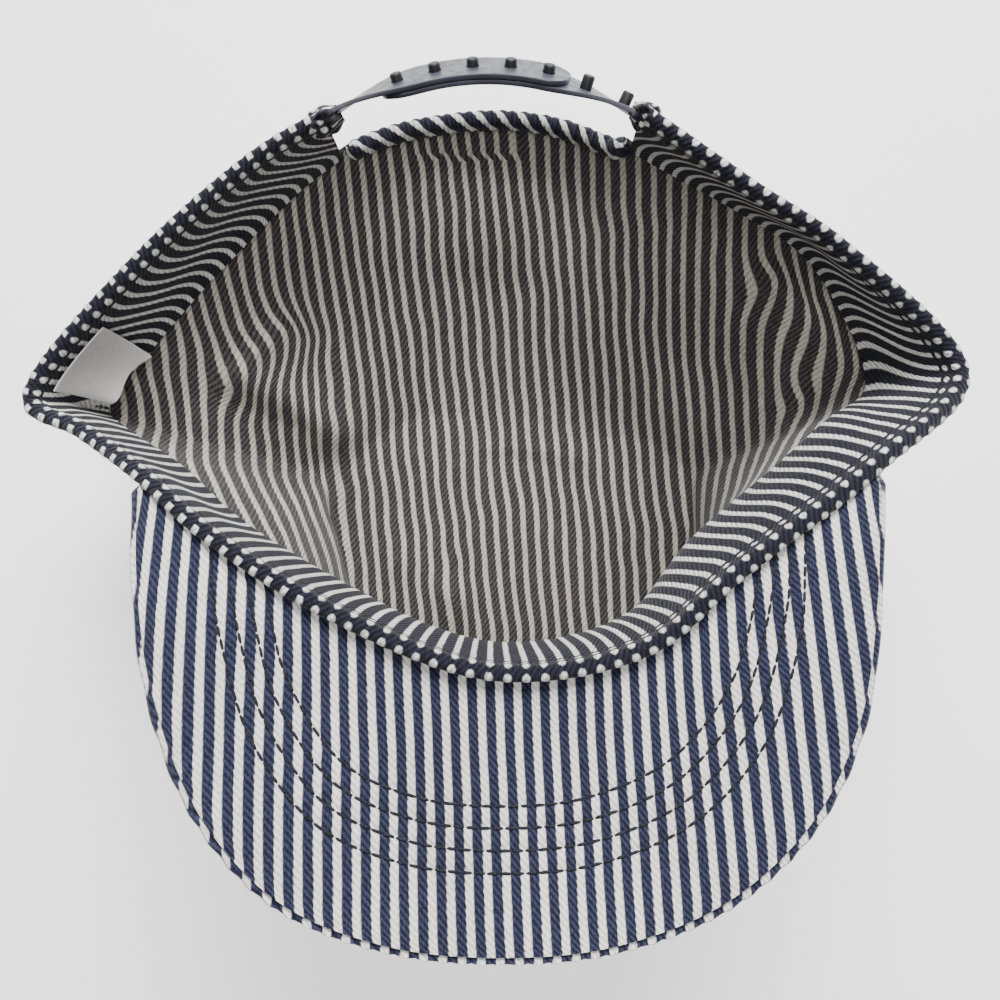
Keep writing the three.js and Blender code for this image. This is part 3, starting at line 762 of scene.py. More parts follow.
@dataclass
class Workshop:
    """Turns grids of millimetres into Blender pieces that ride on one body of the frame."""

    origin: Grid
    body: str = "root"
    sharp_angle: float = math.radians(50.0)
    stitch_bluntness: float = 0.7

    def placed(self, points: Grid) -> Grid:
        """Points in the frame, in metres."""
        return points * MILLIMETRE + self.origin

    def grid(
        self, name: str, points: Grid, cloth: Grid | None = None, flip: bool = False
    ) -> bpy.types.Object:
        """Makes a sheet from a grid of points.

        Args:
            name: Name of the piece.
            points: Points, as (columns, rows, 3).
            cloth: Cloth map, as (columns, rows, 2), in millimetres.
            flip: Whether the faces turn to the other side.

        Returns:
            The sheet.
        """
        columns, rows = points.shape[:2]
        bpy.ops.object.select_all(action="DESELECT")
        bpy.ops.mesh.primitive_grid_add(x_subdivisions=columns - 1, y_subdivisions=rows - 1, size=2.0)
        sheet = bpy.context.object
        sheet.name = name
        mesh = sheet.data
        mesh.name = name
        flat = np.empty(len(mesh.vertices) * 3)
        mesh.vertices.foreach_get("co", flat)
        flat = flat.reshape(-1, 3)
        column = np.rint((flat[:, 0] + 1.0) / 2.0 * (columns - 1)).astype(int)
        row = np.rint((flat[:, 1] + 1.0) / 2.0 * (rows - 1)).astype(int)
        mesh.vertices.foreach_set("co", self.placed(points[column, row]).ravel())
        if cloth is not None:
            corner = np.empty(len(mesh.loops), dtype=np.int32)
            mesh.loops.foreach_get("vertex_index", corner)
            mesh.uv_layers.active.data.foreach_set("uv", cloth[column, row][corner].ravel())
        if flip:
            mesh.flip_normals()
        mesh.update()
        bpy.ops.object.shade_smooth()
        return sheet

    def solid(self, name: str, points: Grid, faces: list[list[int]]) -> bpy.types.Object:
        """Makes a piece from points and faces, and leaves it chosen."""
        mesh = bpy.data.meshes.new(name)
        mesh.from_pydata(self.placed(points).tolist(), [], faces)
        made = bpy.data.objects.new(name, mesh)
        bpy.context.scene.collection.objects.link(made)
        self.choose(made)
        return made

    def choose(self, *pieces: bpy.types.Object) -> None:
        """Selects only these pieces and makes the first one active."""
        bpy.ops.object.select_all(action="DESELECT")
        for piece in pieces:
            piece.select_set(True)
        bpy.context.view_layer.objects.active = pieces[0]

    def edit(self, piece: bpy.types.Object, operation: Callable[..., Any], **settings: Any) -> None:
        """Runs an edit mode operation on the whole of a piece."""
        self.choose(piece)
        bpy.ops.object.mode_set(mode="EDIT")
        bpy.ops.mesh.select_all(action="SELECT")
        operation(**settings)
        bpy.ops.object.mode_set(mode="OBJECT")

    def apply(self, piece: bpy.types.Object, kind: str, **settings: Any) -> None:
        """Adds a modifier to a piece and applies it."""
        self.choose(piece)
        modifier = piece.modifiers.new(kind.lower(), kind)
        for name, value in settings.items():
            setattr(modifier, name, value)
        bpy.ops.object.modifier_apply(modifier=modifier.name)

    def round_edges(self, piece: bpy.types.Object, width: float, segments: int = 2) -> None:
        """Rounds the sharp edges of a piece."""
        self.apply(
            piece, "BEVEL", width=width * MILLIMETRE, segments=segments, limit_method="ANGLE",
            angle_limit=self.sharp_angle,
        )

    def thicken(self, piece: bpy.types.Object, thickness: float, other: int = 0) -> None:
        """Gives a sheet its thickness, half on each side, with another material slot on the far side."""
        self.apply(
            piece, "SOLIDIFY", thickness=thickness * MILLIMETRE, offset=0.0, material_offset=other,
            material_offset_rim=other,
        )

    def sheet(
        self, name: str, points: Grid, cloth: Grid, thickness: float, rounding: float, flip: bool = False
    ) -> bpy.types.Object:
        """Makes a sheet of a thickness, with rounded edges, from a grid of points and its cloth map."""
        made = self.grid(name, points, cloth, flip)
        self.thicken(made, thickness)
        self.round_edges(made, rounding)
        return made

    def shade(self, piece: bpy.types.Object, angle: float) -> None:
        """Shades a piece smooth, but for edges sharper than an angle in degrees."""
        self.choose(piece)
        bpy.ops.object.shade_smooth_by_angle(angle=math.radians(angle))

    def prism(self, name: str, outline: Grid, low: float, high: float) -> bpy.types.Object:
        """Upright prism over an outline of across and height, from one place towards the back to another."""
        count = len(outline)
        near = np.stack([outline[:, 0], np.full(count, low), outline[:, 1]], axis=1)
        far = near + np.array([0.0, high - low, 0.0])
        faces = [list(range(count)), list(range(2 * count - 1, count - 1, -1))]
        for index in range(count):
            after = (index + 1) % count
            faces.append([after, index, index + count, after + count])
        made = self.solid(name, np.concatenate([near, far]), faces)
        self.edit(made, bpy.ops.mesh.normals_make_consistent, inside=False)
        return made

    def cut(self, piece: bpy.types.Object, tool: bpy.types.Object) -> None:
        """Cuts a tool out of a piece and removes the tool."""
        self.apply(piece, "BOOLEAN", object=tool, operation="DIFFERENCE", solver="EXACT")
        bpy.data.objects.remove(tool, do_unlink=True)

    def stitches(
        self, name: str, places: Grid, along: Grid, out: Grid, length: float, radius: float
    ) -> bpy.types.Object:
        """Copies one stitch to many places and joins them.

        Args:
            name: Name of the piece.
            places: Middles of the stitches.
            along: Directions of the stitches.
            out: Directions away from the cloth.
            length: Length of a stitch.
            radius: Radius of the thread.

        Returns:
            The joined stitches.
        """
        bpy.ops.object.select_all(action="DESELECT")
        bpy.ops.mesh.primitive_uv_sphere_add(segments=8, ring_count=5, radius=1.0)
        pattern = bpy.context.object
        shape = np.array([vertex.co for vertex in pattern.data.vertices])
        faces = [list(face.vertices) for face in pattern.data.polygons]
        bpy.data.objects.remove(pattern, do_unlink=True)
        along, out = unit(along), unit(out)
        side = unit(np.cross(out, along))
        out = np.cross(along, side)
        reach = np.sign(shape[:, 2]) * np.abs(shape[:, 2]) ** self.stitch_bluntness * length / 2.0
        body = (
            places[:, None]
            + along[:, None] * reach[:, None]
            + side[:, None] * (shape[:, 0:1] * radius)
            + out[:, None] * (shape[:, 1:2] * radius)
        )
        firsts = range(0, len(places) * len(shape), len(shape))
        polygons = [[first + corner for corner in face] for first in firsts for face in faces]
        made = self.solid(name, body.reshape(-1, 3), polygons)
        bpy.ops.object.shade_smooth()
        return made

    def dress(
        self, piece: bpy.types.Object, materials: list[bpy.types.Material], slot: str, *nodes: str
    ) -> None:
        """Gives a piece its materials and its place in the frame."""
        for index, material in enumerate(materials):
            if index < len(piece.material_slots):
                piece.material_slots[index].material = material
            else:
                piece.data.materials.append(material)
        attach(piece, self.body)
        if nodes:
            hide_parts(*nodes)
        LOG.info("%s: %d faces", piece.name, len(piece.data.polygons))


@dataclass
class ClothMap:
    """Cloth coordinates of the crown: its floor as it lies, and its wall laid out flat from the foot."""

    form: CapForm
    tilt: float = math.radians(5.0)
    climb_share: float = 0.4
    jog: float = 2.0
    hem_middle: float = -9.0
    hem_fold: tuple[float, float] = (102.4, 103.8)
    hem_reach: tuple[float, float] = (10.0, 19.0)

    def outward(self, stations: Grid) -> Grid:
        """Level directions in which the wall is laid out at stations."""
        return unit(self.form.on_ring(self.form.rim, stations)[:, :2])

    def at(self, stations: Grid, points: Grid, foot_row: int) -> Grid:
        """Cloth coordinates of the crown's points, of which the first rows up to the foot are its wall."""
        cosine, sine = math.cos(self.tilt), math.sin(self.tilt)
        plan = points[..., :2].copy()
        steps = np.linalg.norm(np.diff(points[:, : foot_row + 1], axis=1), axis=2)
        climb = np.cumsum(steps[:, ::-1], axis=1)[:, ::-1]
        out = self.outward(stations)
        foot = plan[:, foot_row : foot_row + 1]
        reach = np.sum((plan[:, :foot_row] - foot) * out[:, None], axis=2)
        extra = self.climb_share * np.maximum(0.0, climb - reach)
        plan[:, :foot_row] += out[:, None] * extra[..., None]
        for away, _, shift in near_lines(points, TUG_ROWS):
            plan[..., 0] -= shift * ridge(away, 1.0)
        aside = np.abs(points[..., 0] - self.hem_middle)
        hem = smooth_step(points[..., 1], *self.hem_fold) * (1.0 - smooth_step(aside, *self.hem_reach))
        plan[..., 0] += self.jog * hem
        return plan @ np.array([[cosine, -sine], [sine, cosine]])


@dataclass
class BackOpening:
    """The arch cut in the back of the crown, below the strap."""

    form: CapForm
    bottom_height: float = 40.5
    side_inset: float = 2.5
    end_cover: float = 2.5
    shoulder_rise: float = 1.5
    roundness: float = 0.7
    above: float = 104.5
    near: float = 70.0
    far: float = 130.0
    outline_steps: int = 72

    def line(self, steps: int) -> Grid:
        """Points of the arch, across and height, from its left shoulder down and up to its right one."""
        left_edge = self.form.band_edge[int(self.form.last_strap)]
        right_edge = self.form.band_edge[int(self.form.first_strap)]
        left = left_edge[0] + self.side_inset
        right = right_edge[0] - self.side_inset
        angle = np.linspace(0.0, math.pi, steps + 1)
        across = -np.sign(np.cos(angle)) * np.abs(np.cos(angle)) ** self.roundness
        share = (across + 1.0) / 2.0
        shoulder = left_edge[2] + (right_edge[2] - left_edge[2]) * share + self.shoulder_rise
        depth = shoulder - self.bottom_height
        height = shoulder - depth * np.abs(np.sin(angle)) ** self.roundness
        return np.stack([left + (right - left) * share, height], axis=1)

    def outline(self) -> Grid:
        """The arch, and above its shoulders the stretch that the strap bridges."""
        line = self.line(self.outline_steps)
        left_side = self.form.rim[int(self.form.last_strap)][0] - self.end_cover
        right_side = self.form.rim[int(self.form.first_strap)][0] + self.end_cover
        top = [[left_side, self.above], [left_side, line[0, 1]]]
        end = [[right_side, line[-1, 1]], [right_side, self.above]]
        return np.concatenate([top, line, end])


@dataclass
class Crown:
    """The soft shell of the cap, the reverse of its cloth inside."""

    form: CapForm
    workshop: Workshop
    opening: BackOpening
    columns_per_station: int = 15
    band_rows: int = 6
    rows_per_span: int = 15
    floor_rows: int = 10
    centre_rows: int = 8
    edge_inset: float = 1.0
    visor_clear_depth: float = 7.0
    weld_distance: float = 0.01
    smooth_below: float = 60.0

    def spans(self, stations: Grid) -> Grid:
        """Spans of the rows at each station."""
        shown = self.edge_inset + (self.visor_clear_depth - self.edge_inset) * self.form.visor_cover(stations)
        first = (shown + self.edge_inset) / self.form.band_width
        band = first[:, None] + (1.0 - first[:, None]) * np.linspace(0.0, 1.0, self.band_rows, endpoint=False)
        wall = np.linspace(1.0, 4.0, 3 * self.rows_per_span, endpoint=False)
        floor = np.linspace(4.0, 5.0, self.floor_rows + 1)
        below = np.broadcast_to(np.concatenate([wall, floor]), (len(stations), len(wall) + len(floor)))
        return np.concatenate([band, below], axis=1)

    def build(self, finishes: Finishes) -> None:
        """Makes the shell, cuts its back opening and dresses it."""
        stations = np.linspace(0.0, self.form.count, self.form.count * self.columns_per_station + 1)
        points = self.form.points(stations, self.spans(stations))
        share = np.linspace(1.0, 0.0, self.centre_rows + 1)[1:]
        centre = points[:, -1:] * share[None, :, None]
        centre[..., 2] = self.form.floor_level
        points = np.concatenate([points, centre], axis=1)
        cloth = ClothMap(self.form).at(stations, points, self.band_rows + 3 * self.rows_per_span)
        shell = self.workshop.grid("crown_shell", points, cloth, flip=True)
        self.workshop.edit(shell, bpy.ops.mesh.remove_doubles, threshold=self.weld_distance * MILLIMETRE)
        sides = [finishes.reverse, finishes.face]
        for side in sides:
            shell.data.materials.append(side)
        self.workshop.thicken(shell, self.form.cloth, other=1)
        outline = self.opening.outline()
        tool = self.workshop.prism("opening_tool", outline, self.opening.near, self.opening.far)
        self.workshop.cut(shell, tool)
        self.workshop.shade(shell, self.smooth_below)
        self.workshop.dress(shell, sides, "denim_reverse", "crown")


@dataclass
class RimBands:
    """The two striped bands round the rim, folded over its edge and sewn near it."""

    form: CapForm
    workshop: Workshop
    columns_per_station: int = 26
    flat_rows: int = 30
    roll_rows: int = 8
    roll_radius: float = 1.4
    roll_start: float = math.radians(-85.0)
    roll_stop: float = math.radians(90.0)
    edge_rounding: float = 0.35
    outer_rim_depth: float = 1.0
    visor_clear_depth: float = 7.0
    bead_height: float = 0.55
    bead_pitch: float = 2.9
    bead_fade: tuple[float, float] = (3.6, 4.8)
    wave_height: float = 0.25
    wave_length: float = 9.0
    wave_twist: float = 0.21
    wave_fade: tuple[float, float] = (5.0, 12.0)
    drift_fade: tuple[float, float] = (3.0, 27.0)
    stitch_depth: float = 3.5
    stitch_valley: float = 0.35
    valley_width: float = 0.8
    stitch_length: float = 2.7
    stitch_pitch: float = 3.3
    stitch_stop_short: float = 0.1
    line_samples: int = 4000
    measured_span: float = 0.3
    thread_radius: float = 0.28
    stripe_pitch: float = 4.4

    def __post_init__(self) -> None:
        """Sets the columns' stations, from the right strap end round to the left one, and their lengths."""
        count = int(self.form.last_strap) * self.columns_per_station + 1
        self.stations = np.linspace(self.form.first_strap, self.form.last_strap, count)
        middle = self.form.points(self.stations, np.full((count, 1), self.measured_span))[:, 0]
        self.lengths = arc_lengths(middle)[:, None]

    def bead(self, depth: Grid) -> Grid:
        """Height of the beads that the stripes form near the rim, by depth down from it."""
        beside = 1.0 - crest(self.lengths, self.stripe_pitch)
        near = 1.0 - smooth_step(np.abs(depth), *self.bead_fade)
        return self.bead_height * beside * crest(depth, self.bead_pitch) * near

    def relief(self, depth: Grid) -> Grid:
        """Height of the cloth over its flat place: beads, the sewn line's valley and soft waves below it."""
        waves = np.sin(self.lengths / self.wave_length + depth * self.wave_twist)
        waves = waves * smooth_step(depth, *self.wave_fade)
        valley = self.stitch_valley * ridge(depth - self.stitch_depth, self.valley_width)
        return self.bead(depth) - valley + waves * self.wave_height

    def drift(self, depth: Grid) -> Grid:
        """Distance along the rim by which a stripe has moved at a depth, because the band is twisted."""
        reach = np.interp(self.stations, DRIFT_ROWS[:, 0], DRIFT_ROWS[:, 1])
        return reach[:, None] * smooth_step(depth, *self.drift_fade)

    def inner(self, finishes: Finishes) -> None:
        """The sweatband, rolled over the rim."""
        form = self.form
        depth = np.linspace(0.0, form.band_width, self.flat_rows)
        depths = np.broadcast_to(depth, (len(self.stations), len(depth)))
        spans = depths / form.band_width
        base = form.points(self.stations, spans)
        normals = form.normals(self.stations, spans)
        flat = base + normals * (form.layer_pitch + self.relief(depths))[..., None]
        tangent = unit(base[:, 0] - base[:, 1])
        angle = np.linspace(self.roll_start, self.roll_stop, self.roll_rows, endpoint=False)
        roll_depth = (angle - self.roll_stop) * self.roll_radius
        radius = self.roll_radius + self.bead(roll_depth[None, :])
        roll = (
            base[:, :1]
            + normals[:, :1] * (np.sin(angle) * radius)[..., None]
            + tangent[:, None] * (np.cos(angle) * radius)[..., None]
        )
        points = np.concatenate([roll, flat], axis=1)
        along = np.broadcast_to(np.concatenate([roll_depth, depth]), points.shape[:2])
        cloth = np.stack([self.lengths - self.drift(along), along], axis=-1)
        band = self.workshop.sheet("sweatband_cloth", points, cloth, form.cloth, self.edge_rounding, True)
        # The rim denim's darker navy is painted shade.
        self.workshop.dress(band, [finishes.rim], "denim_face", "sweatband")

    def outer(self, finishes: Finishes) -> None:
        """The outer band, held down below the visor."""
        form = self.form
        cover = form.visor_cover(self.stations)[:, None]
        shown = self.outer_rim_depth + (self.visor_clear_depth - self.outer_rim_depth) * cover
        depths = shown + (form.band_width - shown) * np.linspace(0.0, 1.0, self.flat_rows)
        offset = -(form.layer_pitch + self.relief(depths) * (1.0 - cover))
        points = form.layer(self.stations, depths / form.band_width, offset)
        cloth = np.stack(np.broadcast_arrays(self.lengths, -depths), axis=-1)
        band = self.workshop.sheet("outer_band_cloth", points, cloth, form.cloth, self.edge_rounding)
        # The rim denim's darker navy is painted shade.
        self.workshop.dress(band, [finishes.rim], "denim_face", "outer_band")

    def sewing(self, finishes: Finishes) -> None:
        """The row of stitches near the rim, on the sweatband."""
        form = self.form
        span = self.stitch_depth / form.band_width
        first, last = form.first_strap + self.stitch_stop_short, form.last_strap - self.stitch_stop_short
        fine = np.linspace(first, last, self.line_samples)
        lengths = arc_lengths(form.points(fine, np.full((len(fine), 1), span))[:, 0])
        at = np.interp(np.arange(self.stitch_pitch, lengths[-1], self.stitch_pitch), lengths, fine)
        spans = np.full((len(at), 1), span)
        base = form.points(at, spans)[:, 0]
        normal = form.normals(at, spans)[:, 0]
        lift = form.layer_pitch + form.cloth / 2.0 - self.stitch_valley + self.thread_radius * THREAD_PROUD
        along = form.points(at + 0.02, spans)[:, 0] - base
        places = base + normal * lift
        made = self.workshop.stitches(
            "rim_stitches_inner", places, along, normal, self.stitch_length, self.thread_radius
        )
        self.workshop.dress(made, [finishes.thread], "")


@dataclass
class Visor:
    """The visor: two cloth covers over a stiff middle, sewn in four rows, with a rolled edge."""

    form: CapForm
    workshop: Workshop
    half_width: float = 92.0
    reach: float = 107.0
    height: float = 107.0
    cover: float = 1.5
    gap: float = 0.3
    seam_depth: float = 3.8
    sag: float = 0.03
    columns: int = 200
    rows: int = 70
    row_distances: tuple[float, ...] = (19.0, 24.1, 29.2, 34.3)
    row_valley: float = 0.5
    valley_width: float = 0.9
    row_stop_share: float = 0.04
    roll_width: float = 2.2
    roll_rise: float = 1.1
    top_reach: float = 0.5
    underside_inset: float = 0.9
    bead_pitch: float = 4.4
    bead_reach: float = 0.5
    edge_rounding: float = 0.5
    top_stripe_shift: float = 2.2
    stitch_length: float = 2.8
    stitch_pitch: float = 3.1
    thread_radius: float = 0.4
    stripe_lean: float = math.radians(2.4)

    def surface(self) -> tuple[Grid, Grid]:
        """Middle surface of the visor from its seam out to its edge, and its upward normals."""
        form = self.form
        fine = np.linspace(form.left_visor, form.right_visor, 2000)
        lengths = arc_lengths(form.on_ring(form.rim, fine))
        stations = np.interp(np.linspace(0.0, lengths[-1], self.columns + 1), lengths, fine)
        span = np.full((len(stations), 1), self.seam_depth / form.band_width)
        seam = form.layer(stations, span, -2.0 * self.gap)[:, 0]
        knots = VISOR_ROWS * np.array([self.half_width, self.reach, self.height])
        places = np.linspace(0.0, len(VISOR_ROWS) - 1, self.columns + 1)
        edge = curve_through(knots[None], places[None])[0]
        share = np.linspace(0.0, 1.0, self.rows + 1)[None, :, None]
        length = np.linalg.norm(edge - seam, axis=1)[:, None, None]
        sag = UP * np.sin(share * math.pi) * self.sag * length
        surface = seam[:, None] + (edge - seam)[:, None] * share - sag
        across = np.gradient(surface, axis=0)
        out = np.gradient(surface, axis=1)
        normals = unit(np.cross(across, out))
        normals = normals * np.sign(normals[..., 2:3])
        side = unit(np.gradient(edge, axis=0))
        toward = seam - edge
        square = toward - side * np.sum(toward * side, axis=1, keepdims=True)
        self.depth = np.linalg.norm(square, axis=1)
        return surface, normals

    def from_edge(self) -> Grid:
        """Distance of the grid's points from the visor's edge."""
        return np.linspace(1.0, 0.0, self.rows + 1)[None, :] * self.depth[:, None]

    def valley(self) -> Grid:
        """Depth of the sewn rows over the grid."""
        distance = self.from_edge()
        rows = (ridge(distance - row, self.valley_width) for row in self.row_distances)
        return sum(rows) * self.row_valley

    def rolled(self, surface: Grid, normals: Grid, side: CoverSide) -> Grid:
        """Movement of a cover at the visor's edge: the top one rolls up round the shorter underside."""
        near = ridge(self.from_edge(), self.roll_width)[..., None]
        out = unit(surface[:, -1:] - surface[:, -2:-1])
        if side is CoverSide.UNDERSIDE:
            return -out * near * self.underside_inset
        reach = self.top_reach + crest(surface[..., 0:1], self.bead_pitch) * self.bead_reach
        return out * near * reach + normals * near * self.roll_rise

    def cloth(self, surface: Grid, shift: float) -> Grid:
        """Cloth map of a cover: the stripes run from the seam to the edge."""
        x, y = surface[..., 0], surface[..., 1]
        across = x * math.cos(self.stripe_lean) + y * math.sin(self.stripe_lean)
        return np.stack([across + shift, y], axis=-1)

    def build(self, finishes: Finishes) -> None:
        """Makes the two covers and their stitches, and dresses them."""
        surface, normals = self.surface()
        valley = self.valley()
        for side, shift in ((CoverSide.UNDERSIDE, 0.0), (CoverSide.TOP, self.top_stripe_shift)):
            node = f"visor_{side.name.lower()}"
            offset = side.value * (self.gap / 2.0 + self.cover / 2.0 - valley)
            points = surface + normals * offset[..., None] + self.rolled(surface, normals, side)
            cloth = self.cloth(surface, shift)
            flip = side is CoverSide.UNDERSIDE
            sheet = self.workshop.sheet(f"{node}_cloth", points, cloth, self.cover, self.edge_rounding, flip)
            self.workshop.dress(sheet, [finishes.face], "denim_face", node)
        self.sewing(finishes, surface, normals)

    def sewing(self, finishes: Finishes, surface: Grid, normals: Grid) -> None:
        """The four rows of stitches, on both sides."""
        columns = np.arange(len(surface))
        places, directions, outs = [], [], []
        for distance in self.row_distances:
            share = 1.0 - distance / np.maximum(self.depth, 1e-6)
            inside = columns[share > self.row_stop_share]
            at = share[inside] * self.rows
            low = np.floor(at).astype(int)
            part = (at - low)[:, None]
            line = surface[inside, low] * (1 - part) + surface[inside, low + 1] * part
            lengths = arc_lengths(line)
            middles = np.arange(self.stitch_pitch / 2.0, lengths[-1], self.stitch_pitch)
            places.append(at_lengths(line, lengths, middles))
            ahead, behind = (at_lengths(line, lengths, middles + step) for step in (0.5, -0.5))
            directions.append(ahead - behind)
            outs.append(at_lengths(normals[inside, low], lengths, middles))
        place, along, out = (np.concatenate(part) for part in (places, directions, outs))
        lift = self.gap / 2.0 + self.cover - self.row_valley + self.thread_radius * THREAD_PROUD
        for side in CoverSide:
            name = f"visor_stitches_{side.name.lower()}"
            facing = out * side.value
            made = self.workshop.stitches(
                name, place + facing * lift, along, facing, self.stitch_length, self.thread_radius
            )
            self.workshop.dress(made, [finishes.thread], "")


@dataclass
class ArchBinding:
    """The bias strip folded round the edge of the back opening."""

    form: CapForm
    workshop: Workshop
    opening: BackOpening
    thickness: float = 0.8
    edge_rounding: float = 0.25
    step: float = 0.5
    path_steps: int = 160
    wall_columns: int = 400
    wall_rows: int = 120
    clear_of_wall: float = 180.0
    smoothing_rounds: int = 6
    lumps: float = 0.09
    lump_turn: float = 2.0
    taper: tuple[float, float] = (-0.6, 3.5)

    def wall(self) -> BVHTree:
        """The back of the crown's middle surface, for rays and nearest points."""
        form = self.form
        stations = np.linspace(form.last_strap - 1.0, form.count + 1.0, self.wall_columns)
        spans = np.broadcast_to(np.linspace(0.0, 3.0, self.wall_rows), (self.wall_columns, self.wall_rows))
        plan = self.workshop.grid("wall_plan", form.points(stations, spans))
        vertices = [vertex.co for vertex in plan.data.vertices]
        tree = BVHTree.FromPolygons(vertices, [list(face.vertices) for face in plan.data.polygons])
        bpy.data.objects.remove(plan, do_unlink=True)
        return tree

    def path(self, wall: BVHTree) -> Grid:
        """The opening's edge on the wall, at even steps."""
        path = []
        for across, height in self.opening.line(self.path_steps):
            start = self.workshop.placed(np.array([across, self.clear_of_wall, height]))
            hit = wall.ray_cast(Vector(start), Vector((0.0, -1.0, 0.0)))[0]
            if hit is not None:
                path.append((np.array(hit) - self.workshop.origin) / MILLIMETRE)
        return evenly(np.array(path), self.step)

    def facings(self, wall: BVHTree, path: Grid) -> Grid:
        """Directions out of the wall towards the inside of the cap along a path, smoothed."""
        facings = []
        for point in path:
            facing = np.array(wall.find_nearest(Vector(self.workshop.placed(point)))[1])
            facings.append(-facing if facing[1] > 0 else facing)
        facings = unit(np.array(facings))
        for _ in range(self.smoothing_rounds):
            facings[1:-1] = unit(facings[:-2] + facings[1:-1] * 2.0 + facings[2:])
        return facings

    def build(self, finishes: Finishes) -> None:
        """Sweeps the folded strip along the arch and dresses it."""
        wall = self.wall()
        path = self.path(wall)
        facings = self.facings(wall, path)
        away = np.cross(unit(np.gradient(path, axis=0)), facings)
        away = away * np.sign(np.sum(away * (path - path.mean(axis=0)), axis=1).mean())
        profile = np.concatenate([BINDING_ROWS, BINDING_ROWS[-2::-1] * np.array([1.0, -1.0])])
        lengths = arc_lengths(path)
        end = np.minimum(lengths, lengths[-1] - lengths)
        swell = (1.0 + self.lumps * np.cos(lengths * self.lump_turn)) * smooth_step(end, *self.taper)
        middle = profile[:, 0].mean()
        wide = middle + (profile[:, 0] - middle) * swell[:, None]
        deep = profile[:, 1] * swell[:, None]
        points = path[:, None] + away[:, None] * wide[..., None] + facings[:, None] * deep[..., None]
        round_lengths = arc_lengths(profile)
        across, along = lengths[:, None] + round_lengths, lengths[:, None] - round_lengths
        cloth = np.stack([across, along], axis=-1) * math.sqrt(0.5)
        strip = self.workshop.sheet("arch_binding_cloth", points, cloth, self.thickness, self.edge_rounding)
        self.workshop.dress(strip, [finishes.bias], "denim_face", "arch_binding")


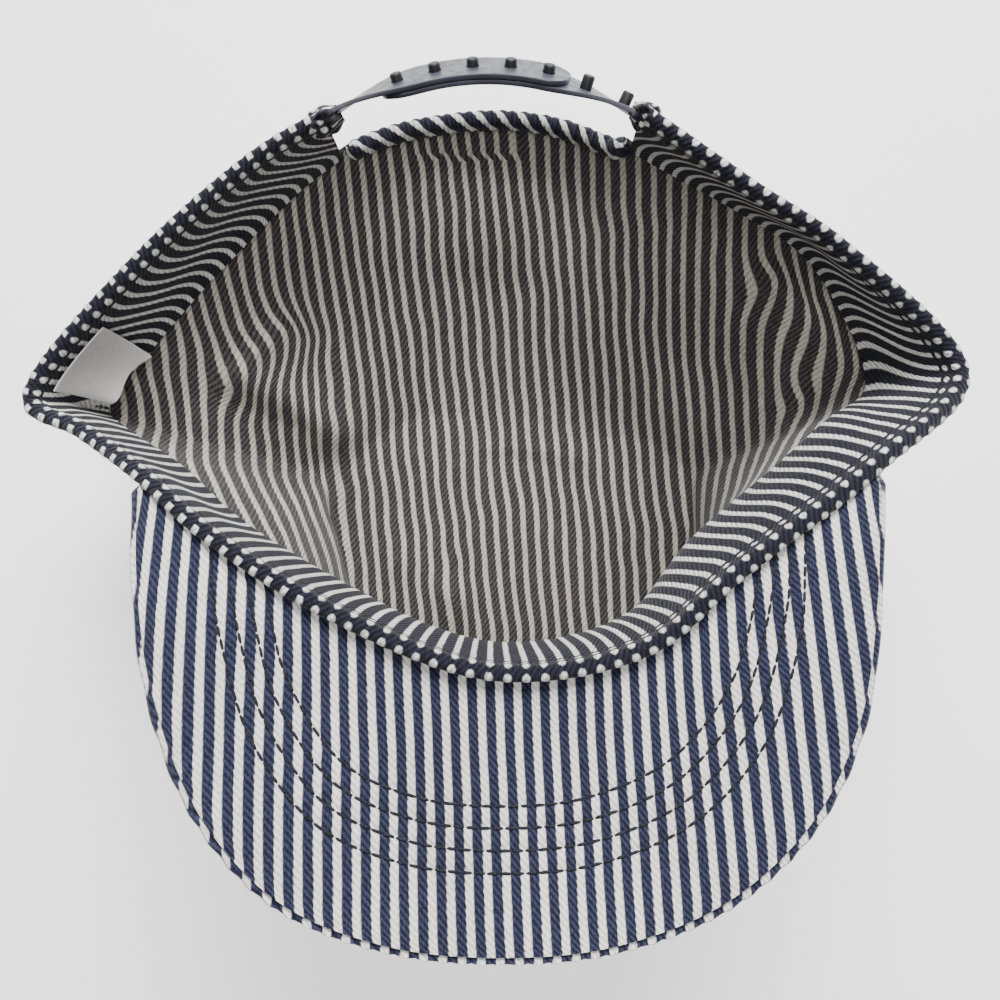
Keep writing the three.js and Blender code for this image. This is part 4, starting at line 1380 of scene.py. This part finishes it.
@dataclass
class SnapStrap:
    """The plastic snap strap: a studded half inside and a holed half outside, fastened."""

    form: CapForm
    workshop: Workshop
    width: float = 15.0
    thickness: float = 1.2
    bow: float = 12.5
    lean: float = math.radians(38.0)
    end_lean: float = math.radians(16.0)
    drop: float = 7.0
    end_gap: float = 0.35
    stud_count: int = 7
    stud_pitch: float = 10.25
    stud_radius: float = 1.45
    stud_height: float = 3.6
    stud_head: float = 1.6
    stud_clearance: float = 0.35
    studs_free: int = 2
    first_stud: float = 4.0
    free_margin: float = 5.0
    holed_overlap: float = 4.61
    corner: float = 6.0
    edge_rounding: float = 0.3
    lean_blend: float = 0.3
    stud_root: float = 0.6
    stud_rounding: float = 0.5
    hole_overrun: float = 1.0
    smooth_below: float = 40.0
    samples: int = 121
    width_samples: int = 13
    pin_sides: int = 24

    def __post_init__(self) -> None:
        """Sets the line of the strap and the places of the studs."""
        form = self.form
        span = np.array([[self.drop / form.band_width]])
        self.left = form.points(np.array([form.last_strap]), span)[0, 0]
        self.right = form.points(np.array([form.first_strap]), span)[0, 0]
        self.chord = self.right - self.left
        level = unit(self.chord * np.array([1.0, 1.0, 0.0]))
        self.out = np.array([-level[1], level[0], 0.0])
        shares = np.linspace(0.0, 1.0, 41)
        self.length = arc_lengths(self.line(shares))[-1]
        self.end_share = (form.cloth + self.end_gap) / self.length
        steps = self.first_stud + np.arange(self.stud_count) * self.stud_pitch
        self.stud_shares = 1.0 - self.end_share - steps / self.length

    def line(self, share: Grid) -> Grid:
        """Centre line of the strap, from its left end to its right one."""
        bow = self.bow * (1.0 - (2.0 * share - 1.0) ** 2)
        return self.left + share[:, None] * self.chord + bow[:, None] * self.out

    def frames(self, share: Grid) -> tuple[Grid, Grid]:
        """Directions across the width of the strap and out of its outer face."""
        along = unit(self.line(share + 0.01) - self.line(share - 0.01))
        level = unit(np.stack([-along[:, 1], along[:, 0], np.zeros(len(share))], axis=1))
        from_end = np.minimum(share, 1.0 - share)
        blend = smooth_step(from_end, 0.0, self.lean_blend)
        lean = self.end_lean * (1.0 - blend) + self.lean * blend
        outward = level * np.cos(lean)[:, None] + UP * np.sin(lean)[:, None]
        face = unit(outward - along * np.sum(outward * along, axis=1, keepdims=True))
        return unit(np.cross(along, face)), face

    def blade(
        self, name: str, start: float, stop: float, offset: float, free_at_stop: bool
    ) -> bpy.types.Object:
        """Half of the strap between two shares of its line, with one rounded free end."""
        share = np.linspace(start, stop, self.samples)
        across, face = self.frames(share)
        centre = self.line(share) + face * (offset + self.thickness / 2.0)
        lengths = arc_lengths(centre)
        from_free = lengths[-1] - lengths if free_at_stop else lengths
        bend = np.clip(from_free / self.corner, 0.0, 1.0)
        half = self.width / 2.0 - self.corner * (1.0 - np.sqrt(1.0 - (1.0 - bend) ** 2))
        side = np.linspace(-1.0, 1.0, self.width_samples)
        points = centre[:, None] + across[:, None] * (half[:, None] * side)[..., None]
        blade = self.workshop.grid(name, points)
        self.workshop.thicken(blade, self.thickness)
        self.workshop.round_edges(blade, self.edge_rounding)
        return blade

    def pins(self, name: str, shares: Grid, radius: float, start: float, stop: float) -> bpy.types.Object:
        """Round pins square to the strap, from one height over its middle to another, joined."""
        _, faces = self.frames(shares)
        made = []
        for place, out in zip(self.line(shares), faces):
            bpy.ops.object.select_all(action="DESELECT")
            bpy.ops.mesh.primitive_cylinder_add(
                vertices=self.pin_sides,
                radius=radius * MILLIMETRE,
                depth=(stop - start) * MILLIMETRE,
                location=self.workshop.placed(place + out * (start + stop) / 2.0),
                rotation=Vector(out).to_track_quat("Z", "Y").to_euler(),
            )
            made.append(bpy.context.object)
        self.workshop.choose(*made)
        bpy.ops.object.join()
        bpy.ops.object.transform_apply(location=True, rotation=True, scale=True)
        made[0].name = name
        made[0].data.name = name
        return made[0]

    def build(self, finishes: Finishes) -> None:
        """Makes both halves and the studs, and dresses them."""
        stud_end = self.stud_shares[-1] - self.free_margin / self.length
        hole_end = self.stud_shares[self.studs_free - 1] - self.holed_overlap / self.length
        outer = self.thickness + self.form.layer_gap
        studded = self.blade("strap_studded_half", stud_end, 1.0 - self.end_share, 0.0, False)
        stud_top = self.thickness + self.stud_height
        studs = self.pins("strap_stud_pins", self.stud_shares, self.stud_head, self.stud_root, stud_top)
        self.workshop.round_edges(studs, self.stud_rounding, 3)
        holed = self.blade("strap_holed_half", self.end_share, hole_end, outer, True)
        radius = self.stud_radius + self.stud_clearance
        low, high = outer - self.hole_overrun, outer + self.thickness + self.hole_overrun
        tools = self.pins("hole_tools", self.stud_shares[self.studs_free :], radius, low, high)
        self.workshop.cut(holed, tools)
        for piece, finish, node in (
            (studded, finishes.plastic, ["strap_studs"]),
            (studs, finishes.studs, []),
            (holed, finishes.plastic, ["strap_holes"]),
        ):
            self.workshop.shade(piece, self.smooth_below)
            self.workshop.dress(piece, [finish], "snap_plastic", *node)


@dataclass
class AnchorFolds:
    """The puckered cloth corners of the bands, folded round both ends of the strap."""

    strap: SnapStrap
    workshop: Workshop
    length: float = 8.5
    half_width: float = 9.5
    half_depth: float = 3.0
    off_middle: float = 1.2
    thickness: float = 1.1
    edge_rounding: float = 0.3
    left_shares: tuple[float, float] = (-0.04, 0.05)
    right_shares: tuple[float, float] = (1.04, 0.97)
    pinch_in: float = 0.45
    pinch_out: float = 0.35
    cloth_share: float = 0.7
    around: int = 73
    rows: int = 25

    def build(self, finishes: Finishes) -> None:
        """Makes both folds and dresses them."""
        turn = np.linspace(0.0, 2.0 * math.pi, self.around)
        place = np.linspace(0.0, 1.0, self.rows)[:, None]
        pinch_in = self.pinch_in * smooth_step(place, 0.55, 1.0)
        pinch_out = self.pinch_out * smooth_step(0.25 - place, 0.0, 0.25)
        puckers = 0.14 * np.sin(turn * 5.0 + place * 4.0) + 0.08 * np.sin(turn * 9.0 - place * 6.0)
        size = (1.0 - pinch_in - pinch_out) * (1.0 + puckers)
        side = (np.sin(turn) * self.half_width * size)[..., None]
        out = (np.cos(turn) * self.half_depth * size)[..., None]
        across_cloth = turn * self.half_width * self.cloth_share
        cloth = np.stack(np.broadcast_arrays(across_cloth, place * self.length), axis=-1)
        for side_name, shares in (("left", self.left_shares), ("right", self.right_shares)):
            share = np.linspace(*shares, self.rows)
            across, face = self.strap.frames(share)
            centre = self.strap.line(share) + face * self.off_middle
            points = centre[:, None] + across[:, None] * side + face[:, None] * out
            sleeve = self.workshop.sheet(
                f"anchor_fold_{side_name}", points, cloth, self.thickness, self.edge_rounding,
                flip=side_name == "right",
            )
            # The rim denim's darker navy is painted shade.
            self.workshop.dress(sleeve, [finishes.rim], "denim_face")


@dataclass
class CareLabel:
    """The bare label sewn to the sweatband beside the left corner."""

    form: CapForm
    workshop: Workshop
    first_station: float = 12.15
    last_station: float = 12.66
    rim_inset: float = 4.0
    length: float = 19.0
    thickness: float = 0.5
    offset: float = 2.8
    lift: float = 5.0
    curl: float = 1.2
    curl_turn: float = 7.0
    edge_rounding: float = 0.15
    columns: int = 41
    rows: int = 31

    def build(self, finishes: Finishes) -> None:
        """Makes the label, its free edge off the band, and dresses it."""
        stations = np.linspace(self.first_station, self.last_station, self.columns)
        depth = np.linspace(self.rim_inset, self.rim_inset + self.length, self.rows)
        spans = np.broadcast_to(depth / self.form.band_width, (self.columns, self.rows))
        share = np.linspace(0.0, 1.0, self.rows)[None, :]
        side = np.linspace(0.0, 1.0, self.columns)[:, None]
        offset = self.offset + self.lift * share**2 + self.curl * share * np.sin(side * self.curl_turn)
        points = self.form.layer(stations, spans, offset)
        lengths = arc_lengths(points[:, self.rows // 2])
        cloth = np.stack(np.broadcast_arrays(lengths[:, None], depth[None, :]), axis=-1)
        label = self.workshop.sheet(
            "care_label_satin", points, cloth, self.thickness, self.edge_rounding, flip=True
        )
        self.workshop.dress(label, [finishes.satin], "label_satin", "care_label")


@dataclass
class Studio:
    """Floor, light and camera, in metres but for the camera's height over the cap's origin."""

    workshop: Workshop
    camera_height: float = 353.0
    lens: float = 38.8
    sensor_width: float = 36.0
    clip_start: float = 0.01
    floor_size: float = 6.0
    floor_colour: Colour = (0.95, 0.95, 0.95, 1.0)
    air_strength: float = 0.09
    lamp_size: float = 0.7
    back_lamp_place: tuple[float, float, float] = (0.1, 0.95, 0.85)
    back_lamp_power: float = 42.0
    top_lamp_place: tuple[float, float, float] = (0.1, -0.1, 1.3)
    top_lamp_power: float = 10.5
    lamp_target: tuple[float, float, float] = (0.0, 0.0, 0.03)

    def build(self) -> None:
        """Sets up the floor, the lights and the camera."""
        bpy.ops.object.select_all(action="DESELECT")
        bpy.ops.mesh.primitive_plane_add(size=self.floor_size, location=(0.0, 0.0, 0.0))
        floor = bpy.context.object
        floor.name = "studio_floor"
        floor.data.materials.append(Paper("studio_paper", self.floor_colour).material())
        self.lamp("soft_light_back", self.back_lamp_place, self.back_lamp_power)
        self.lamp("soft_light_above", self.top_lamp_place, self.top_lamp_power)
        world = bpy.data.worlds.new("studio_air")
        world.use_nodes = True
        air = world.node_tree.nodes["Background"]
        air.inputs["Color"].default_value = grey(1.0)
        air.inputs["Strength"].default_value = self.air_strength
        bpy.context.scene.world = world
        lens = bpy.data.cameras.new("photo_camera")
        lens.lens = self.lens
        lens.sensor_width = self.sensor_width
        lens.clip_start = self.clip_start
        camera = self.linked("photo_camera", lens)
        camera.location = self.workshop.placed(np.array([0.0, 0.0, self.camera_height]))
        bpy.context.scene.camera = camera

    def linked(self, name: str, data: Any) -> bpy.types.Object:
        """Object of a light or a camera, in the scene."""
        made = bpy.data.objects.new(name, data)
        bpy.context.scene.collection.objects.link(made)
        return made

    def lamp(self, name: str, place: tuple[float, float, float], power: float) -> None:
        """Square soft light that faces the cap."""
        data = bpy.data.lights.new(name, "AREA")
        data.size = self.lamp_size
        data.energy = power
        lamp = self.linked(name, data)
        lamp.location = place
        lamp.rotation_euler = (Vector(self.lamp_target) - Vector(place)).to_track_quat("-Z", "Y").to_euler()


def main() -> None:
    """Builds the cap in order on the loaded frame."""
    logging.basicConfig(level=logging.INFO, format="%(name)s: %(message)s")
    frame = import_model()
    mount = next(item for item in frame["record"]["mounts"] if item["name"] == "crown_rest")
    workshop = Workshop(np.array(mount["pos_m"]))
    form = CapForm()
    finishes = Finishes()
    Studio(workshop).build()
    opening = BackOpening(form)
    Crown(form, workshop, opening).build(finishes)
    bands = RimBands(form, workshop)
    bands.outer(finishes)
    bands.inner(finishes)
    bands.sewing(finishes)
    Visor(form, workshop).build(finishes)
    ArchBinding(form, workshop, opening).build(finishes)
    strap = SnapStrap(form, workshop)
    strap.build(finishes)
    AnchorFolds(strap, workshop).build(finishes)
    CareLabel(form, workshop).build(finishes)


if __name__ == "__main__":
    main()
